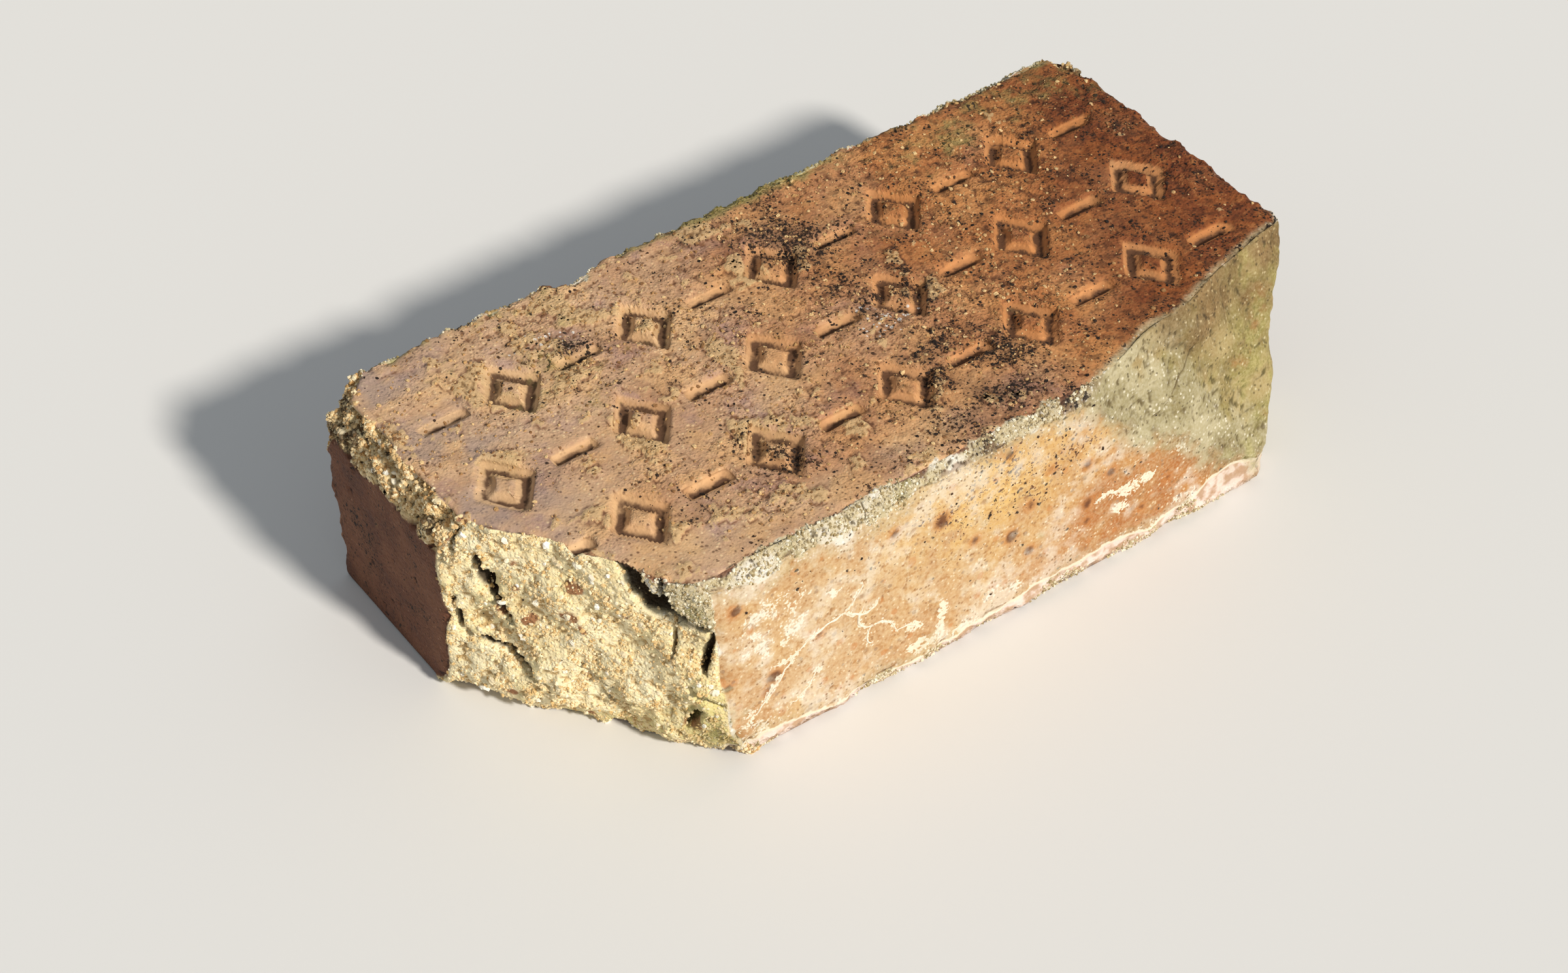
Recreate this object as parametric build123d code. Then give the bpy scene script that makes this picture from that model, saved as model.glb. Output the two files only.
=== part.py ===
from build123d import *
import os
from math import ceil, exp, pi, sin

# A pressed and fired clay brick, one solid, lying flat on its bed.
# Origin at the middle of the underside. +X runs along the length to the far end, +Z is up.
# The front long face, at -Y, and the near end, at -X, carry most of the damage. Millimetres.

# The pressed block, at the size that it was moulded to.
brick_length = 228.6
brick_width = 114.3
brick_height = 63.5
arris_radius = 1.6

# The broken corner, where the near end meets the front. Both distances run from that corner.
break_along_end = 60.2
break_along_front = 39.3
break_foot_depth = 7.0
break_foot_height = 7.0
break_lip_rise = 3.4
break_lip_place = 60.0
break_lip_spread = 10.0
break_ripple = 1.15
break_ripple_pitch = 34.0
break_lump = 0.55
break_lump_pitch = 27.0

# The bench that stands out low on the break.
bench_rise = 1.8
bench_height = 20.0
bench_length = 38.0
bench_softness = 3.5

# The crevices that run into the break, along bent lines of places (from the near end, height).
crevice_width = 3.6
crevice_depth = 5.0
near_crevice = ((12.0, 52.0), (14.5, 43.0), (19.0, 33.0))
low_crevice = ((7.0, 24.5), (17.5, 22.0), (27.0, 14.5))
front_crevice = ((50.0, 68.0), (56.0, 54.0), (67.0, 49.0))

# The spall at the far front corner: a long flake off the front and a steep face behind it.
flake_along_front_top = 88.4
flake_along_front_foot = 14.3
flake_along_end = 22.8
steep_along_front_foot = 21.2
steep_along_end_top = 24.2
steep_along_end_foot = 29.2
spall_ripple = 1.0
spall_ripple_pitch = 41.0

# Worn arrises: how far each is set back on one face and how far it reaches over the other.
near_end_chip_setback = 4.5
near_end_chip_drop = 13.0
front_wear_setback = 3.0
front_wear_drop = 4.2
back_wear_setback = 1.8
back_wear_drop = 2.8
foot_wear_setback = 2.2
foot_wear_rise = 3.6
wear_ripple = 0.5
wear_ripple_pitch = 31.0

# Chipped corners: how far each chip runs along its three edges.
near_back_chip_along_back = 16.0
near_back_chip_along_end = 12.0
near_back_chip_drop = 24.0
far_back_chip_along_back = 7.0
far_back_chip_along_end = 13.0
far_back_chip_drop = 15.0
heel_chip_along_front = 56.0
heel_chip_along_end = 34.0
heel_chip_rise = 24.0
chip_ripple = 0.4
chip_ripple_pitch = 17.0

# The shell-shaped notches in the back top arris.
notch_radius = 9.0
notch_depth = 4.6
notch_from_near_end = 72.0
small_notch_radius = 5.0
small_notch_depth = 2.6
small_notch_from_far_end = 32.5

# The sunk keying marks on the top bed: rows of open lozenges and plain bars.
mark_rows = 3
marks_per_row = 11
row_pitch = 28.0
mark_pitch = 19.0
lozenge_height = 23.0
lozenge_width = 17.0
bar_length = 13.0
mark_stroke = 4.6
mark_depth = 2.1
mark_draft = 44.0

# Spacing of the points that a broken face is drawn through, and its overrun past the block.
grid_step = 6.0
overrun = 8.0

half_length = brick_length / 2
half_width = brick_width / 2


def pressed_block():
    """The block as it left the press, with its arrises softened."""
    block = Box(brick_length, brick_width, brick_height, align=(Align.CENTER, Align.CENTER, Align.MIN))
    return fillet(block.edges(), arris_radius)


def ripple(u, v, height, pitch):
    """An uneven surface: two crossing waves of unlike pitch."""
    long_wave = sin(2 * pi * (u + 0.4 * v) / pitch)
    short_wave = sin(2 * pi * (0.7 * v - u) / (0.6 * pitch) + 1.0)
    return height * (0.65 * long_wave + 0.35 * short_wave)


def corner_break_relief(u, v):
    """The big break: v runs down from the top bed, u from the near end to the front."""
    foot = break_foot_depth * exp((v - brick_height) / break_foot_height)
    from_lip = (u - break_lip_place) / break_lip_spread
    below_top = v / break_lip_spread
    lip = break_lip_rise * exp(-from_lip ** 2 - below_top ** 2)
    waves = ripple(u, v, break_ripple, break_ripple_pitch) + ripple(v, u, break_lump, break_lump_pitch)
    return lip - foot + waves + bench_relief(u, v)


def bench_relief(u, v):
    """The low bench: a soft step outwards below its height, which fades towards the front."""
    above_bench = (brick_height - v - bench_height) / bench_softness
    past_bench = (u - bench_length) / bench_softness
    return bench_rise / (1 + exp(above_bench)) / (1 + exp(past_bench))


def spall_relief(u, v):
    """The gentle waves of the two spalled faces."""
    return ripple(u, v, spall_ripple, spall_ripple_pitch)


def wear_relief(u, v):
    """The slow waves along a worn arris."""
    return ripple(u, v, wear_ripple, wear_ripple_pitch)


def chip_relief(u, v):
    """The small waves of a chipped corner."""
    return ripple(u, v, chip_ripple, chip_ripple_pitch)


def spaced(low, high):
    """Evenly spaced places from low to high, no further apart than the grid step."""
    count = max(3, ceil((high - low) / grid_step))
    return [low + (high - low) * place / count for place in range(count + 1)]


def broken_away(first, second, third, relief):
    """What a fracture takes off: the block outside an uneven sheet through three points.

    The sheet's u runs from the first point to the second, and its v towards the third.
    The height of the sheet above the flat plane, outwards, is relief(u, v).
    """
    start = Vector(*first)
    along = Vector(*second) - start
    normal = along.cross(Vector(*third) - start).normalized()
    inside = Vector(0, 0, brick_height / 2)
    outwards = normal if normal.dot(inside - start) < 0 else normal * -1
    down = (Vector(*third) - start) - along.normalized() * along.normalized().dot(Vector(*third) - start)
    rows = [
        [
            start + along.normalized() * u + down.normalized() * v + outwards * relief(u, v)
            for u in spaced(-overrun, along.length + overrun)
        ]
        for v in spaced(-overrun, down.length + overrun)
    ]
    sheet = Face.make_surface_from_array_of_points(rows)
    return extrude(sheet, amount=break_along_end, dir=outwards)


def broken_corner():
    """The missing near front corner."""
    end_top = (-half_length, break_along_end - half_width, brick_height)
    front_top = (break_along_front - half_length, -half_width, brick_height)
    end_foot = (-half_length, break_along_end - half_width, 0)
    return broken_away(end_top, front_top, end_foot, corner_break_relief)


def lens(start, bend, end, width):
    """The outline of a gap along a bent line, pointed at both ends and widest at the bend."""
    reach = width / 8 ** 0.5
    outer_side = Spline(start, (bend[0] + reach, bend[1] + reach), end)
    inner_side = Spline(end, (bend[0] - reach, bend[1] - reach), start)
    return make_face(outer_side + inner_side)


def crevice(line):
    """A gap that runs into the broken corner and narrows to almost nothing at its depth."""
    end_foot = Vector(-half_length, break_along_end - half_width, 0)
    front_foot = Vector(break_along_front - half_length, -half_width, 0)
    along = (front_foot - end_foot).normalized()
    outwards = along.cross(Vector(0, 0, 1))
    mouth = Plane(end_foot + outwards * crevice_depth, x_dir=along, z_dir=outwards)
    floor = Plane(end_foot - outwards * crevice_depth, x_dir=along, z_dir=outwards)
    return loft([mouth * lens(*line, 1.8 * crevice_width), floor * lens(*line, 0.2 * crevice_width)])


def crevices():
    """The three deep crevices of the broken corner."""
    return [crevice(near_crevice), crevice(low_crevice), crevice(front_crevice)]


def far_flake():
    """The long flake off the front, running out to the far end."""
    front_top = (half_length - flake_along_front_top, -half_width, brick_height)
    end_top = (half_length, flake_along_end - half_width, brick_height)
    front_foot = (half_length - flake_along_front_foot, -half_width, 0)
    return broken_away(front_top, end_top, front_foot, spall_relief)


def far_steep_face():
    """The steep face behind the flake, down the far end."""
    end_top = (half_length, steep_along_end_top - half_width, brick_height)
    end_foot = (half_length, steep_along_end_foot - half_width, 0)
    front_foot = (half_length - steep_along_front_foot, -half_width, 0)
    return broken_away(end_top, end_foot, front_foot, spall_relief)


def worn_arrises():
    """The ragged strips off the near end, front and back top arrises and the front foot."""
    near_end = broken_away(
        (near_end_chip_setback - half_length, half_width, brick_height),
        (near_end_chip_setback - half_length, -half_width, brick_height),
        (-half_length, half_width, brick_height - near_end_chip_drop),
        wear_relief,
    )
    front = broken_away(
        (-half_length, front_wear_setback - half_width, brick_height),
        (half_length, front_wear_setback - half_width, brick_height),
        (-half_length, -half_width, brick_height - front_wear_drop),
        wear_relief,
    )
    back = broken_away(
        (half_length, half_width - back_wear_setback, brick_height),
        (-half_length, half_width - back_wear_setback, brick_height),
        (half_length, half_width, brick_height - back_wear_drop),
        wear_relief,
    )
    foot = broken_away(
        (-half_length, foot_wear_setback - half_width, 0),
        (half_length, foot_wear_setback - half_width, 0),
        (-half_length, -half_width, foot_wear_rise),
        wear_relief,
    )
    return [near_end, front, back, foot]


def chipped_corners():
    """The two chipped top corners at the back and the heel of the big break."""
    near_back = broken_away(
        (near_back_chip_along_back - half_length, half_width, brick_height),
        (-half_length, half_width - near_back_chip_along_end, brick_height),
        (-half_length, half_width, brick_height - near_back_chip_drop),
        chip_relief,
    )
    far_back = broken_away(
        (half_length - far_back_chip_along_back, half_width, brick_height),
        (half_length, half_width - far_back_chip_along_end, brick_height),
        (half_length, half_width, brick_height - far_back_chip_drop),
        chip_relief,
    )
    heel = broken_away(
        (heel_chip_along_front - half_length, -half_width, 0),
        (-half_length, heel_chip_along_end - half_width, 0),
        (-half_length, -half_width, heel_chip_rise),
        chip_relief,
    )
    return [near_back, far_back, heel]


def back_notches():
    """The two shell-shaped bites out of the back top arris."""
    notch_x = notch_from_near_end - half_length
    notch_lift = notch_radius - notch_depth
    notch = Pos(notch_x, half_width + notch_lift, brick_height) * Sphere(notch_radius)
    small_x = half_length - small_notch_from_far_end
    small_lift = small_notch_radius - small_notch_depth
    small = Pos(small_x, half_width + small_lift, brick_height) * Sphere(small_notch_radius)
    return [notch, small]


def lozenge_mark():
    """One open lozenge, its sides sloping in towards the floor."""
    half_wide = lozenge_width / 2
    half_high = lozenge_height / 2
    outline = Polyline((-half_wide, 0), (0, -half_high), (half_wide, 0), (0, half_high), close=True)
    outer = make_face(outline)
    inner = offset(outer, -mark_stroke)
    ring = Plane.XY * (outer - inner)
    return extrude(ring, amount=-mark_depth, taper=mark_draft)


def bar_mark():
    """One plain bar along the row, its sides sloping in towards the floor."""
    return extrude(Rectangle(bar_length, mark_stroke), amount=-mark_depth, taper=mark_draft)


def keying_marks():
    """Rows of lozenges and bars, taking turns along each row and from row to row."""
    lozenge = lozenge_mark()
    bar = bar_mark()
    marks = []
    for row in range(mark_rows):
        y = (row - (mark_rows - 1) / 2) * row_pitch
        for place in range(marks_per_row):
            x = (place - (marks_per_row - 1) / 2) * mark_pitch
            mark = lozenge if (row + place) % 2 == 1 else bar
            marks.append(Pos(x, y, brick_height) * mark)
    return marks


def brick():
    """The whole brick: the pressed block less its marks, its wear and chips, and its big breaks."""
    body = pressed_block() - keying_marks()
    body -= worn_arrises() + chipped_corners() + back_notches() + crevices()
    return body - [far_flake(), far_steep_face(), broken_corner()]


os.makedirs("parts", exist_ok=True)
export_step(brick(), "parts/brick.step")
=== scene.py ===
import logging
import math
from dataclasses import dataclass, field
from enum import Enum
from typing import Iterable, Union

import bpy
import numpy as np
from mathutils import Matrix, Vector


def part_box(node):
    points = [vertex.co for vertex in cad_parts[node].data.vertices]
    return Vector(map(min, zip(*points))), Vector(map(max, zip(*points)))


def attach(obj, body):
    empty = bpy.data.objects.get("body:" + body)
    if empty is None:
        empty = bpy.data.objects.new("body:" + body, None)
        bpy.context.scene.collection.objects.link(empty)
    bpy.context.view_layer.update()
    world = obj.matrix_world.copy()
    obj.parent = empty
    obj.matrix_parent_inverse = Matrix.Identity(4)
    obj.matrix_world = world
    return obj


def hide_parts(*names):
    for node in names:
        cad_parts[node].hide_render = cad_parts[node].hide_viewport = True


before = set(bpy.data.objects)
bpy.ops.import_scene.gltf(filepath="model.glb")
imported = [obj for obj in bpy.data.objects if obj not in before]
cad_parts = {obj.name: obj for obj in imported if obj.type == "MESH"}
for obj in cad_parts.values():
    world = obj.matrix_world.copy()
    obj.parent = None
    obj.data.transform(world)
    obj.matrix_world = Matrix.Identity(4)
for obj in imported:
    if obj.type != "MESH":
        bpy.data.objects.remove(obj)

# A worn clay brick with a broken corner, lying on a pale floor.
# Lengths are in metres, or in millimetres where a docstring says so, in the frame of the packed
# model: +X along the length to the far end, -Y the front long face, +Z up out of the marked bed.

MM = 0.001
Array = np.ndarray
Point = tuple[float, float, float]
Colour = tuple[float, float, float, float]
Socket = bpy.types.NodeSocket
Value = Union[float, Colour, Socket]
log = logging.getLogger("clay_brick")


def srgb(red: int, green: int, blue: int) -> Colour:
    """Turn a colour written as 0 to 255 per channel into linear light.

    Args:
        red, green, blue: the channels as a colour picker shows them.

    Returns:
        The linear red, green and blue, and a full alpha.
    """
    def channel(value: int) -> float:
        """One channel: a straight foot up to 0.04, and a power of 2.4 above it."""
        share = value / 255
        return share / 12.92 if share <= 0.04045 else ((share + 0.055) / 1.055) ** 2.4

    return channel(red), channel(green), channel(blue), 1.0


def ease(values: Array, low: float, high: float) -> Array:
    """Rise smoothly from 0 at low to 1 at high: 3t^2 - 2t^3 of the clamped share t."""
    share = np.clip((values - low) / (high - low), 0.0, 1.0)
    return share * share * (3.0 - 2.0 * share)


def hill(values: Array, centre: float, spread: float) -> Array:
    """A bell curve: e to the minus square of the distance from centre over spread."""
    return np.exp(-((values - centre) / spread) ** 2)


def largest(named: Iterable[tuple[Enum, Array]]) -> dict[Enum, Array]:
    """The largest value at each point among all those of one name.

    Args:
        named: names, more than one of which may be the same, each with its values.

    Returns:
        The largest values for each name.
    """
    found: dict[Enum, Array] = {}
    for name, values in named:
        found[name] = np.maximum(found[name], values) if name in found else values
    return found


class Surface(Enum):
    """The kinds of surface that share one relief and one colouring."""

    BED = "bed"
    FRONT = "front"
    SKIN = "skin"
    UNDERSIDE = "underside"
    BROKEN = "broken"
    SPALLED = "spalled"
    CHIPPED = "chipped"
    WORN = "worn"


class Region(Enum):
    """A part of the brick's skin: its name, and the kind of surface that it has."""

    TOP = ("top", Surface.BED)
    UNDERSIDE = ("underside", Surface.UNDERSIDE)
    FRONT = ("front", Surface.FRONT)
    BACK = ("back", Surface.SKIN)
    NEAR_END = ("near_end", Surface.SKIN)
    FAR_END = ("far_end", Surface.SKIN)
    BREAK = ("break", Surface.BROKEN)
    FLAKE = ("flake", Surface.SPALLED)
    STEEP = ("steep", Surface.SPALLED)
    NEAR_CHIP = ("near_chip", Surface.CHIPPED)
    CORNER_CHIP = ("corner_chip", Surface.CHIPPED)
    FRONT_WEAR = ("front_wear", Surface.WORN)
    BACK_WEAR = ("back_wear", Surface.WORN)
    FOOT_WEAR = ("foot_wear", Surface.WORN)

    @property
    def surface(self) -> Surface:
        """The kind of surface there."""
        return self.value[1]


@dataclass(frozen=True)
class ClayNoise:
    """Seeded unevenness in space, worked out for a whole array of points at once."""

    seed: int
    slope_count: int = 64
    height: float = 1.7

    def stirred(self, cells: Array) -> Array:
        """Give each whole-number cell one well-mixed number.

        Args:
            cells: cell places, three whole numbers a row.

        Returns:
            One number of 32 bits for each cell: the places times large primes, xored and mixed.
        """
        mixed = (cells[..., 0] * 73856093) ^ (cells[..., 1] * 19349663) ^ (cells[..., 2] * 83492791)
        mixed = (mixed ^ (self.seed * 2654435761)) & 0xFFFFFFFF
        for _ in range(2):
            mixed = (((mixed >> 16) ^ mixed) * 0x45D9F3B) & 0xFFFFFFFF
        return (mixed >> 16) ^ mixed

    def smooth(self, points: Array, cell: float) -> Array:
        """Gradient noise: slopes at cell corners, blended by 6t^5 - 15t^4 + 10t^3.

        Args:
            points: places in metres, three numbers a row.
            cell: the size of one cell.

        Returns:
            A height of about -1 to 1 for each point.
        """
        slopes = np.random.default_rng(self.seed).normal(size=(self.slope_count, 3))
        slopes /= np.linalg.norm(slopes, axis=1, keepdims=True)
        scaled = points / cell
        base = np.floor(scaled).astype(np.int64)
        share = scaled - base
        fade = share ** 3 * (share * (share * 6 - 15) + 10)
        total = np.zeros(len(points))
        for corner in np.ndindex(2, 2, 2):
            slope = slopes[self.stirred(base + corner) % self.slope_count]
            weight = np.prod(np.where(corner, fade, 1 - fade), axis=1)
            total += weight * ((share - corner) * slope).sum(axis=1)
        return total * self.height

    def layered(self, points: Array, cell: float, layers: int = 3, gain: float = 0.5) -> Array:
        """A sum of layers, each of half the cell and gain times the height of the last.

        Args:
            points: places in metres, three numbers a row.
            cell: the size of the first layer's cells.
            layers: how many layers there are.
            gain: each layer's height as a share of the one before.

        Returns:
            One height for each point.
        """
        total = np.zeros(len(points))
        for layer in range(layers):
            shift = 17.3 * cell * (layer + 1)
            total += gain ** layer * self.smooth(points + shift, cell / 2 ** layer)
        return total

    def grains(self, points: Array, cell: float) -> tuple[Array, Array]:
        """The nearest of many scattered grains, one in each cell.

        Args:
            points: places in metres, three numbers a row.
            cell: the size of one cell.

        Returns:
            The distance to the nearest grain's middle in cells, and that grain's own number, 0 to 1.
        """
        scaled = points / cell
        base = np.floor(scaled).astype(np.int64)
        nearest = np.full(len(points), np.inf)
        tone = np.zeros(len(points))
        for step in np.ndindex(3, 3, 3):
            cells = base + step - 1
            mixed = self.stirred(cells)
            parts = [(mixed >> bits) & 1023 for bits in (0, 10, 20)]
            middle = cells + np.stack(parts, 1) / 1023
            away = np.linalg.norm(scaled - middle, axis=1)
            closer = away < nearest
            nearest = np.where(closer, away, nearest)
            tone = np.where(closer, (mixed % 997) / 997, tone)
        return nearest, tone


@dataclass(frozen=True)
class BrokenFace:
    """An uneven sheet through three points; the clay outside it is gone."""

    region: Region
    first: Point
    second: Point
    third: Point
    inside: Point
    ripple: float
    pitch: float

    def axes(self) -> tuple[Array, Array, Array, Array]:
        """The sheet's start, its two directions in the plane, and its outward normal.

        Returns:
            Four vectors of three numbers: a place, and three unit directions.
        """
        start, second, third = (np.array(point) for point in (self.first, self.second, self.third))
        along = (second - start) / np.linalg.norm(second - start)
        down = third - start
        down = down - along * down.dot(along)
        down = down / np.linalg.norm(down)
        outwards = np.cross(along, down)
        if outwards.dot(np.array(self.inside) - start) > 0:
            outwards = -outwards
        return start, along, down, outwards

    def place(self, points: Array) -> tuple[Array, Array]:
        """Where points lie on the sheet: u from first to second, v towards third."""
        start, along, down, _ = self.axes()
        return (points - start) @ along, (points - start) @ down

    def relief(self, u: Array, v: Array) -> Array:
        """The sheet's height over its plane."""
        return self.crossed(u, v, self.ripple, self.pitch)

    @staticmethod
    def crossed(u: Array, v: Array, height: float, pitch: float) -> Array:
        """A long and a short sine wave that cross, 0.65 and 0.35 of the height.

        Args:
            u: the way from first to second, in metres.
            v: the way towards third, in metres.
            height: the height of the waves, in metres.
            pitch: the length of the long wave, in metres.

        Returns:
            One height for each place, in metres.
        """
        long_wave = np.sin(2 * np.pi * (u + 0.4 * v) / pitch)
        short_wave = np.sin(2 * np.pi * (0.7 * v - u) / (0.6 * pitch) + 1.0)
        return height * (0.65 * long_wave + 0.35 * short_wave)

    def lost(self, points: Array) -> Array:
        """How far outside the sheet each point lies, in metres; negative in the clay.

        Args:
            points: places in metres.

        Returns:
            One distance for each point.
        """
        start, _, _, outwards = self.axes()
        u, v = self.place(points)
        return (points - start) @ outwards - self.relief(u, v)


@dataclass(frozen=True)
class CornerBreak(BrokenFace):
    """The big break: a lip near the front top, a foot that runs in, and a low bench."""

    lump: float = 0.55 * MM
    lump_pitch: float = 27.0 * MM
    bench: tuple[float, float, float, float] = (1.8 * MM, 20.0 * MM, 38.0 * MM, 3.5 * MM)
    lip_rise: float = 3.4 * MM
    lip_place: float = 60.0 * MM
    lip_spread: float = 10.0 * MM
    foot_depth: float = 7.0 * MM
    foot_height: float = 7.0 * MM

    def relief(self, u: Array, v: Array) -> Array:
        """Crossing waves, a round lip and a low bench, less a foot that falls away below.

        Args:
            u: the way from first to second, in metres.
            v: the way towards third, in metres.

        Returns:
            One height over the plane for each place, in metres.
        """
        drop = self.first[2] - self.third[2]
        lip = self.lip_rise * hill(u, self.lip_place, self.lip_spread) * hill(v, 0.0, self.lip_spread)
        foot = self.foot_depth * np.exp((v - drop) / self.foot_height)
        rise, top, length, softness = self.bench
        below = 1 / (1 + np.exp((drop - v - top) / softness))
        bench = rise * below / (1 + np.exp((u - length) / softness))
        lumps = self.crossed(v, u, self.lump, self.lump_pitch)
        return super().relief(u, v) + lumps + lip - foot + bench


@dataclass(frozen=True)
class KeyingMarks:
    """Sunk marks in rows on the top bed: open lozenges and plain bars, taking turns."""

    rows: int = 3
    per_row: int = 11
    row_pitch: float = 28.0 * MM
    mark_pitch: float = 19.0 * MM
    lozenge_height: float = 23.0 * MM
    lozenge_width: float = 17.0 * MM
    bar_length: float = 13.0 * MM
    stroke: float = 4.6 * MM
    depth: float = 2.1 * MM
    draft: float = 44.0

    def depth_at(self, x: Array, y: Array) -> Array:
        """How deep the marks are sunk at each place on the bed.

        Args:
            x, y: places on the bed.

        Returns:
            The depth: full inside a stroke and falling to nothing up its sloped wall.
        """
        row = np.clip(np.round(y / self.row_pitch + (self.rows - 1) / 2), 0, self.rows - 1)
        place = np.clip(np.round(x / self.mark_pitch + (self.per_row - 1) / 2), 0, self.per_row - 1)
        local_y = np.abs(y - (row - (self.rows - 1) / 2) * self.row_pitch)
        local_x = np.abs(x - (place - (self.per_row - 1) / 2) * self.mark_pitch)
        half_wide = self.lozenge_width / 2
        half_high = self.lozenge_height / 2
        outline = (local_x / half_wide + local_y / half_high - 1) * half_wide * half_high
        outline = outline / math.hypot(half_wide, half_high)
        within_lozenge = self.stroke / 2 - np.abs(outline + self.stroke / 2)
        within_bar = np.minimum(self.bar_length / 2 - local_x, self.stroke / 2 - local_y)
        within = np.where((row + place) % 2 == 1, within_lozenge, within_bar)
        wall = self.depth * math.tan(math.radians(self.draft))
        return self.depth * np.clip(within / wall, 0.0, 1.0)


@dataclass(frozen=True)
class BrickForm:
    """The brick's large forms: the block, and all that was broken, chipped or worn off it."""

    half_length: float
    half_width: float
    height: float
    arris_radius: float = 1.6 * MM
    marks: KeyingMarks = field(default_factory=KeyingMarks)
    break_along_end: float = 60.2 * MM
    break_along_front: float = 39.3 * MM
    break_ripple: float = 1.15 * MM
    break_pitch: float = 34.0 * MM
    flake_along_front_top: float = 88.4 * MM
    flake_along_front_foot: float = 14.3 * MM
    flake_along_end: float = 22.8 * MM
    steep_along_front_foot: float = 21.2 * MM
    steep_along_end_top: float = 24.2 * MM
    steep_along_end_foot: float = 29.2 * MM
    spall_ripple: float = 1.0 * MM
    spall_pitch: float = 41.0 * MM
    near_end_chip: tuple[float, float] = (4.5 * MM, 13.0 * MM)
    front_wear: tuple[float, float] = (3.0 * MM, 4.2 * MM)
    back_wear: tuple[float, float] = (1.8 * MM, 2.8 * MM)
    foot_wear: tuple[float, float] = (2.2 * MM, 3.6 * MM)
    wear_ripple: float = 0.5 * MM
    wear_pitch: float = 31.0 * MM
    near_back_chip: Point = (16.0 * MM, 12.0 * MM, 24.0 * MM)
    far_back_chip: Point = (7.0 * MM, 13.0 * MM, 15.0 * MM)
    heel_chip: Point = (56.0 * MM, 34.0 * MM, 24.0 * MM)
    chip_ripple: float = 0.4 * MM
    chip_pitch: float = 17.0 * MM
    notch: Point = (72.0 * MM, 9.0 * MM, 4.6 * MM)
    small_notch: Point = (32.5 * MM, 5.0 * MM, 2.6 * MM)

    def sheet(self, region: Region, first: Point, second: Point, third: Point) -> BrokenFace:
        """A broken face with the waves of its kind: spall, chipped corner or worn arris.

        Args:
            region: the part of the skin that the sheet makes.
            first: a point of the sheet, in metres.
            second: another, along the sheet.
            third: another, down the sheet.

        Returns:
            The broken face, with the clay on the side of the block's middle.
        """
        waves = {
            Region.FLAKE: (self.spall_ripple, self.spall_pitch),
            Region.STEEP: (self.spall_ripple, self.spall_pitch),
            Region.CORNER_CHIP: (self.chip_ripple, self.chip_pitch),
        }
        ripple, pitch = waves.get(region, (self.wear_ripple, self.wear_pitch))
        inside = (0.0, 0.0, self.height / 2)
        return BrokenFace(region, first, second, third, inside, ripple, pitch)

    def corner_break(self) -> CornerBreak:
        """The missing corner where the near end meets the front.

        Returns:
            The broken face, with a lip, a bench and a foot of its own.
        """
        end_y = self.break_along_end - self.half_width
        front_x = self.break_along_front - self.half_length
        return CornerBreak(
            Region.BREAK,
            first=(-self.half_length, end_y, self.height),
            second=(front_x, -self.half_width, self.height),
            third=(-self.half_length, end_y, 0.0),
            inside=(0.0, 0.0, self.height / 2),
            ripple=self.break_ripple,
            pitch=self.break_pitch,
        )

    def spalls(self) -> list[BrokenFace]:
        """The long flake off the front and the steep face behind it, at the far end.

        Returns:
            Their broken faces.
        """
        far, front, top = self.half_length, -self.half_width, self.height
        flake = self.sheet(
            Region.FLAKE,
            (far - self.flake_along_front_top, front, top),
            (far, front + self.flake_along_end, top),
            (far - self.flake_along_front_foot, front, 0.0),
        )
        steep = self.sheet(
            Region.STEEP,
            (far, front + self.steep_along_end_top, top),
            (far, front + self.steep_along_end_foot, 0.0),
            (far - self.steep_along_front_foot, front, 0.0),
        )
        return [flake, steep]

    def worn_arrises(self) -> list[BrokenFace]:
        """The ragged strips off the near end, front and back top arrises and the front foot.

        Returns:
            One broken face for each strip.
        """
        far, back, top = self.half_length, self.half_width, self.height
        end_in, end_down = self.near_end_chip
        front_in, front_down = self.front_wear
        back_in, back_down = self.back_wear
        foot_in, foot_up = self.foot_wear
        end_x, front_y, back_y, foot_y = end_in - far, front_in - back, back - back_in, foot_in - back
        edges = (
            (Region.NEAR_CHIP, (end_x, back, top), (end_x, -back, top), (-far, back, top - end_down)),
            (Region.FRONT_WEAR, (-far, front_y, top), (far, front_y, top), (-far, -back, top - front_down)),
            (Region.BACK_WEAR, (far, back_y, top), (-far, back_y, top), (far, back, top - back_down)),
            (Region.FOOT_WEAR, (-far, foot_y, 0.0), (far, foot_y, 0.0), (-far, -back, foot_up)),
        )
        return [self.sheet(*edge) for edge in edges]

    def corner_chips(self) -> list[BrokenFace]:
        """The two chipped top corners at the back and the heel of the big break.

        Returns:
            One broken face for each corner.
        """
        far, back, top = self.half_length, self.half_width, self.height
        near_x, near_y, near_z = self.near_back_chip
        far_x, far_y, far_z = self.far_back_chip
        heel_x, heel_y, heel_z = self.heel_chip
        corners = (
            ((near_x - far, back, top), (-far, back - near_y, top), (-far, back, top - near_z)),
            ((far - far_x, back, top), (far, back - far_y, top), (far, back, top - far_z)),
            ((heel_x - far, -back, 0.0), (-far, heel_y - back, 0.0), (-far, -back, heel_z)),
        )
        return [self.sheet(Region.CORNER_CHIP, *corner) for corner in corners]

    def notches(self, points: Array) -> Array:
        """How far inside the two shell-shaped bites of the back top arris each point lies.

        Args:
            points: places in metres.

        Returns:
            One distance for each point, in metres, negative outside both bites.
        """
        bites = []
        for end, (away, radius, depth) in ((-1, self.notch), (1, self.small_notch)):
            x, y = end * (self.half_length - away), self.half_width + radius - depth
            bites.append(radius - np.linalg.norm(points - np.array([x, y, self.height]), axis=1))
        return np.maximum(*bites)

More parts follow.
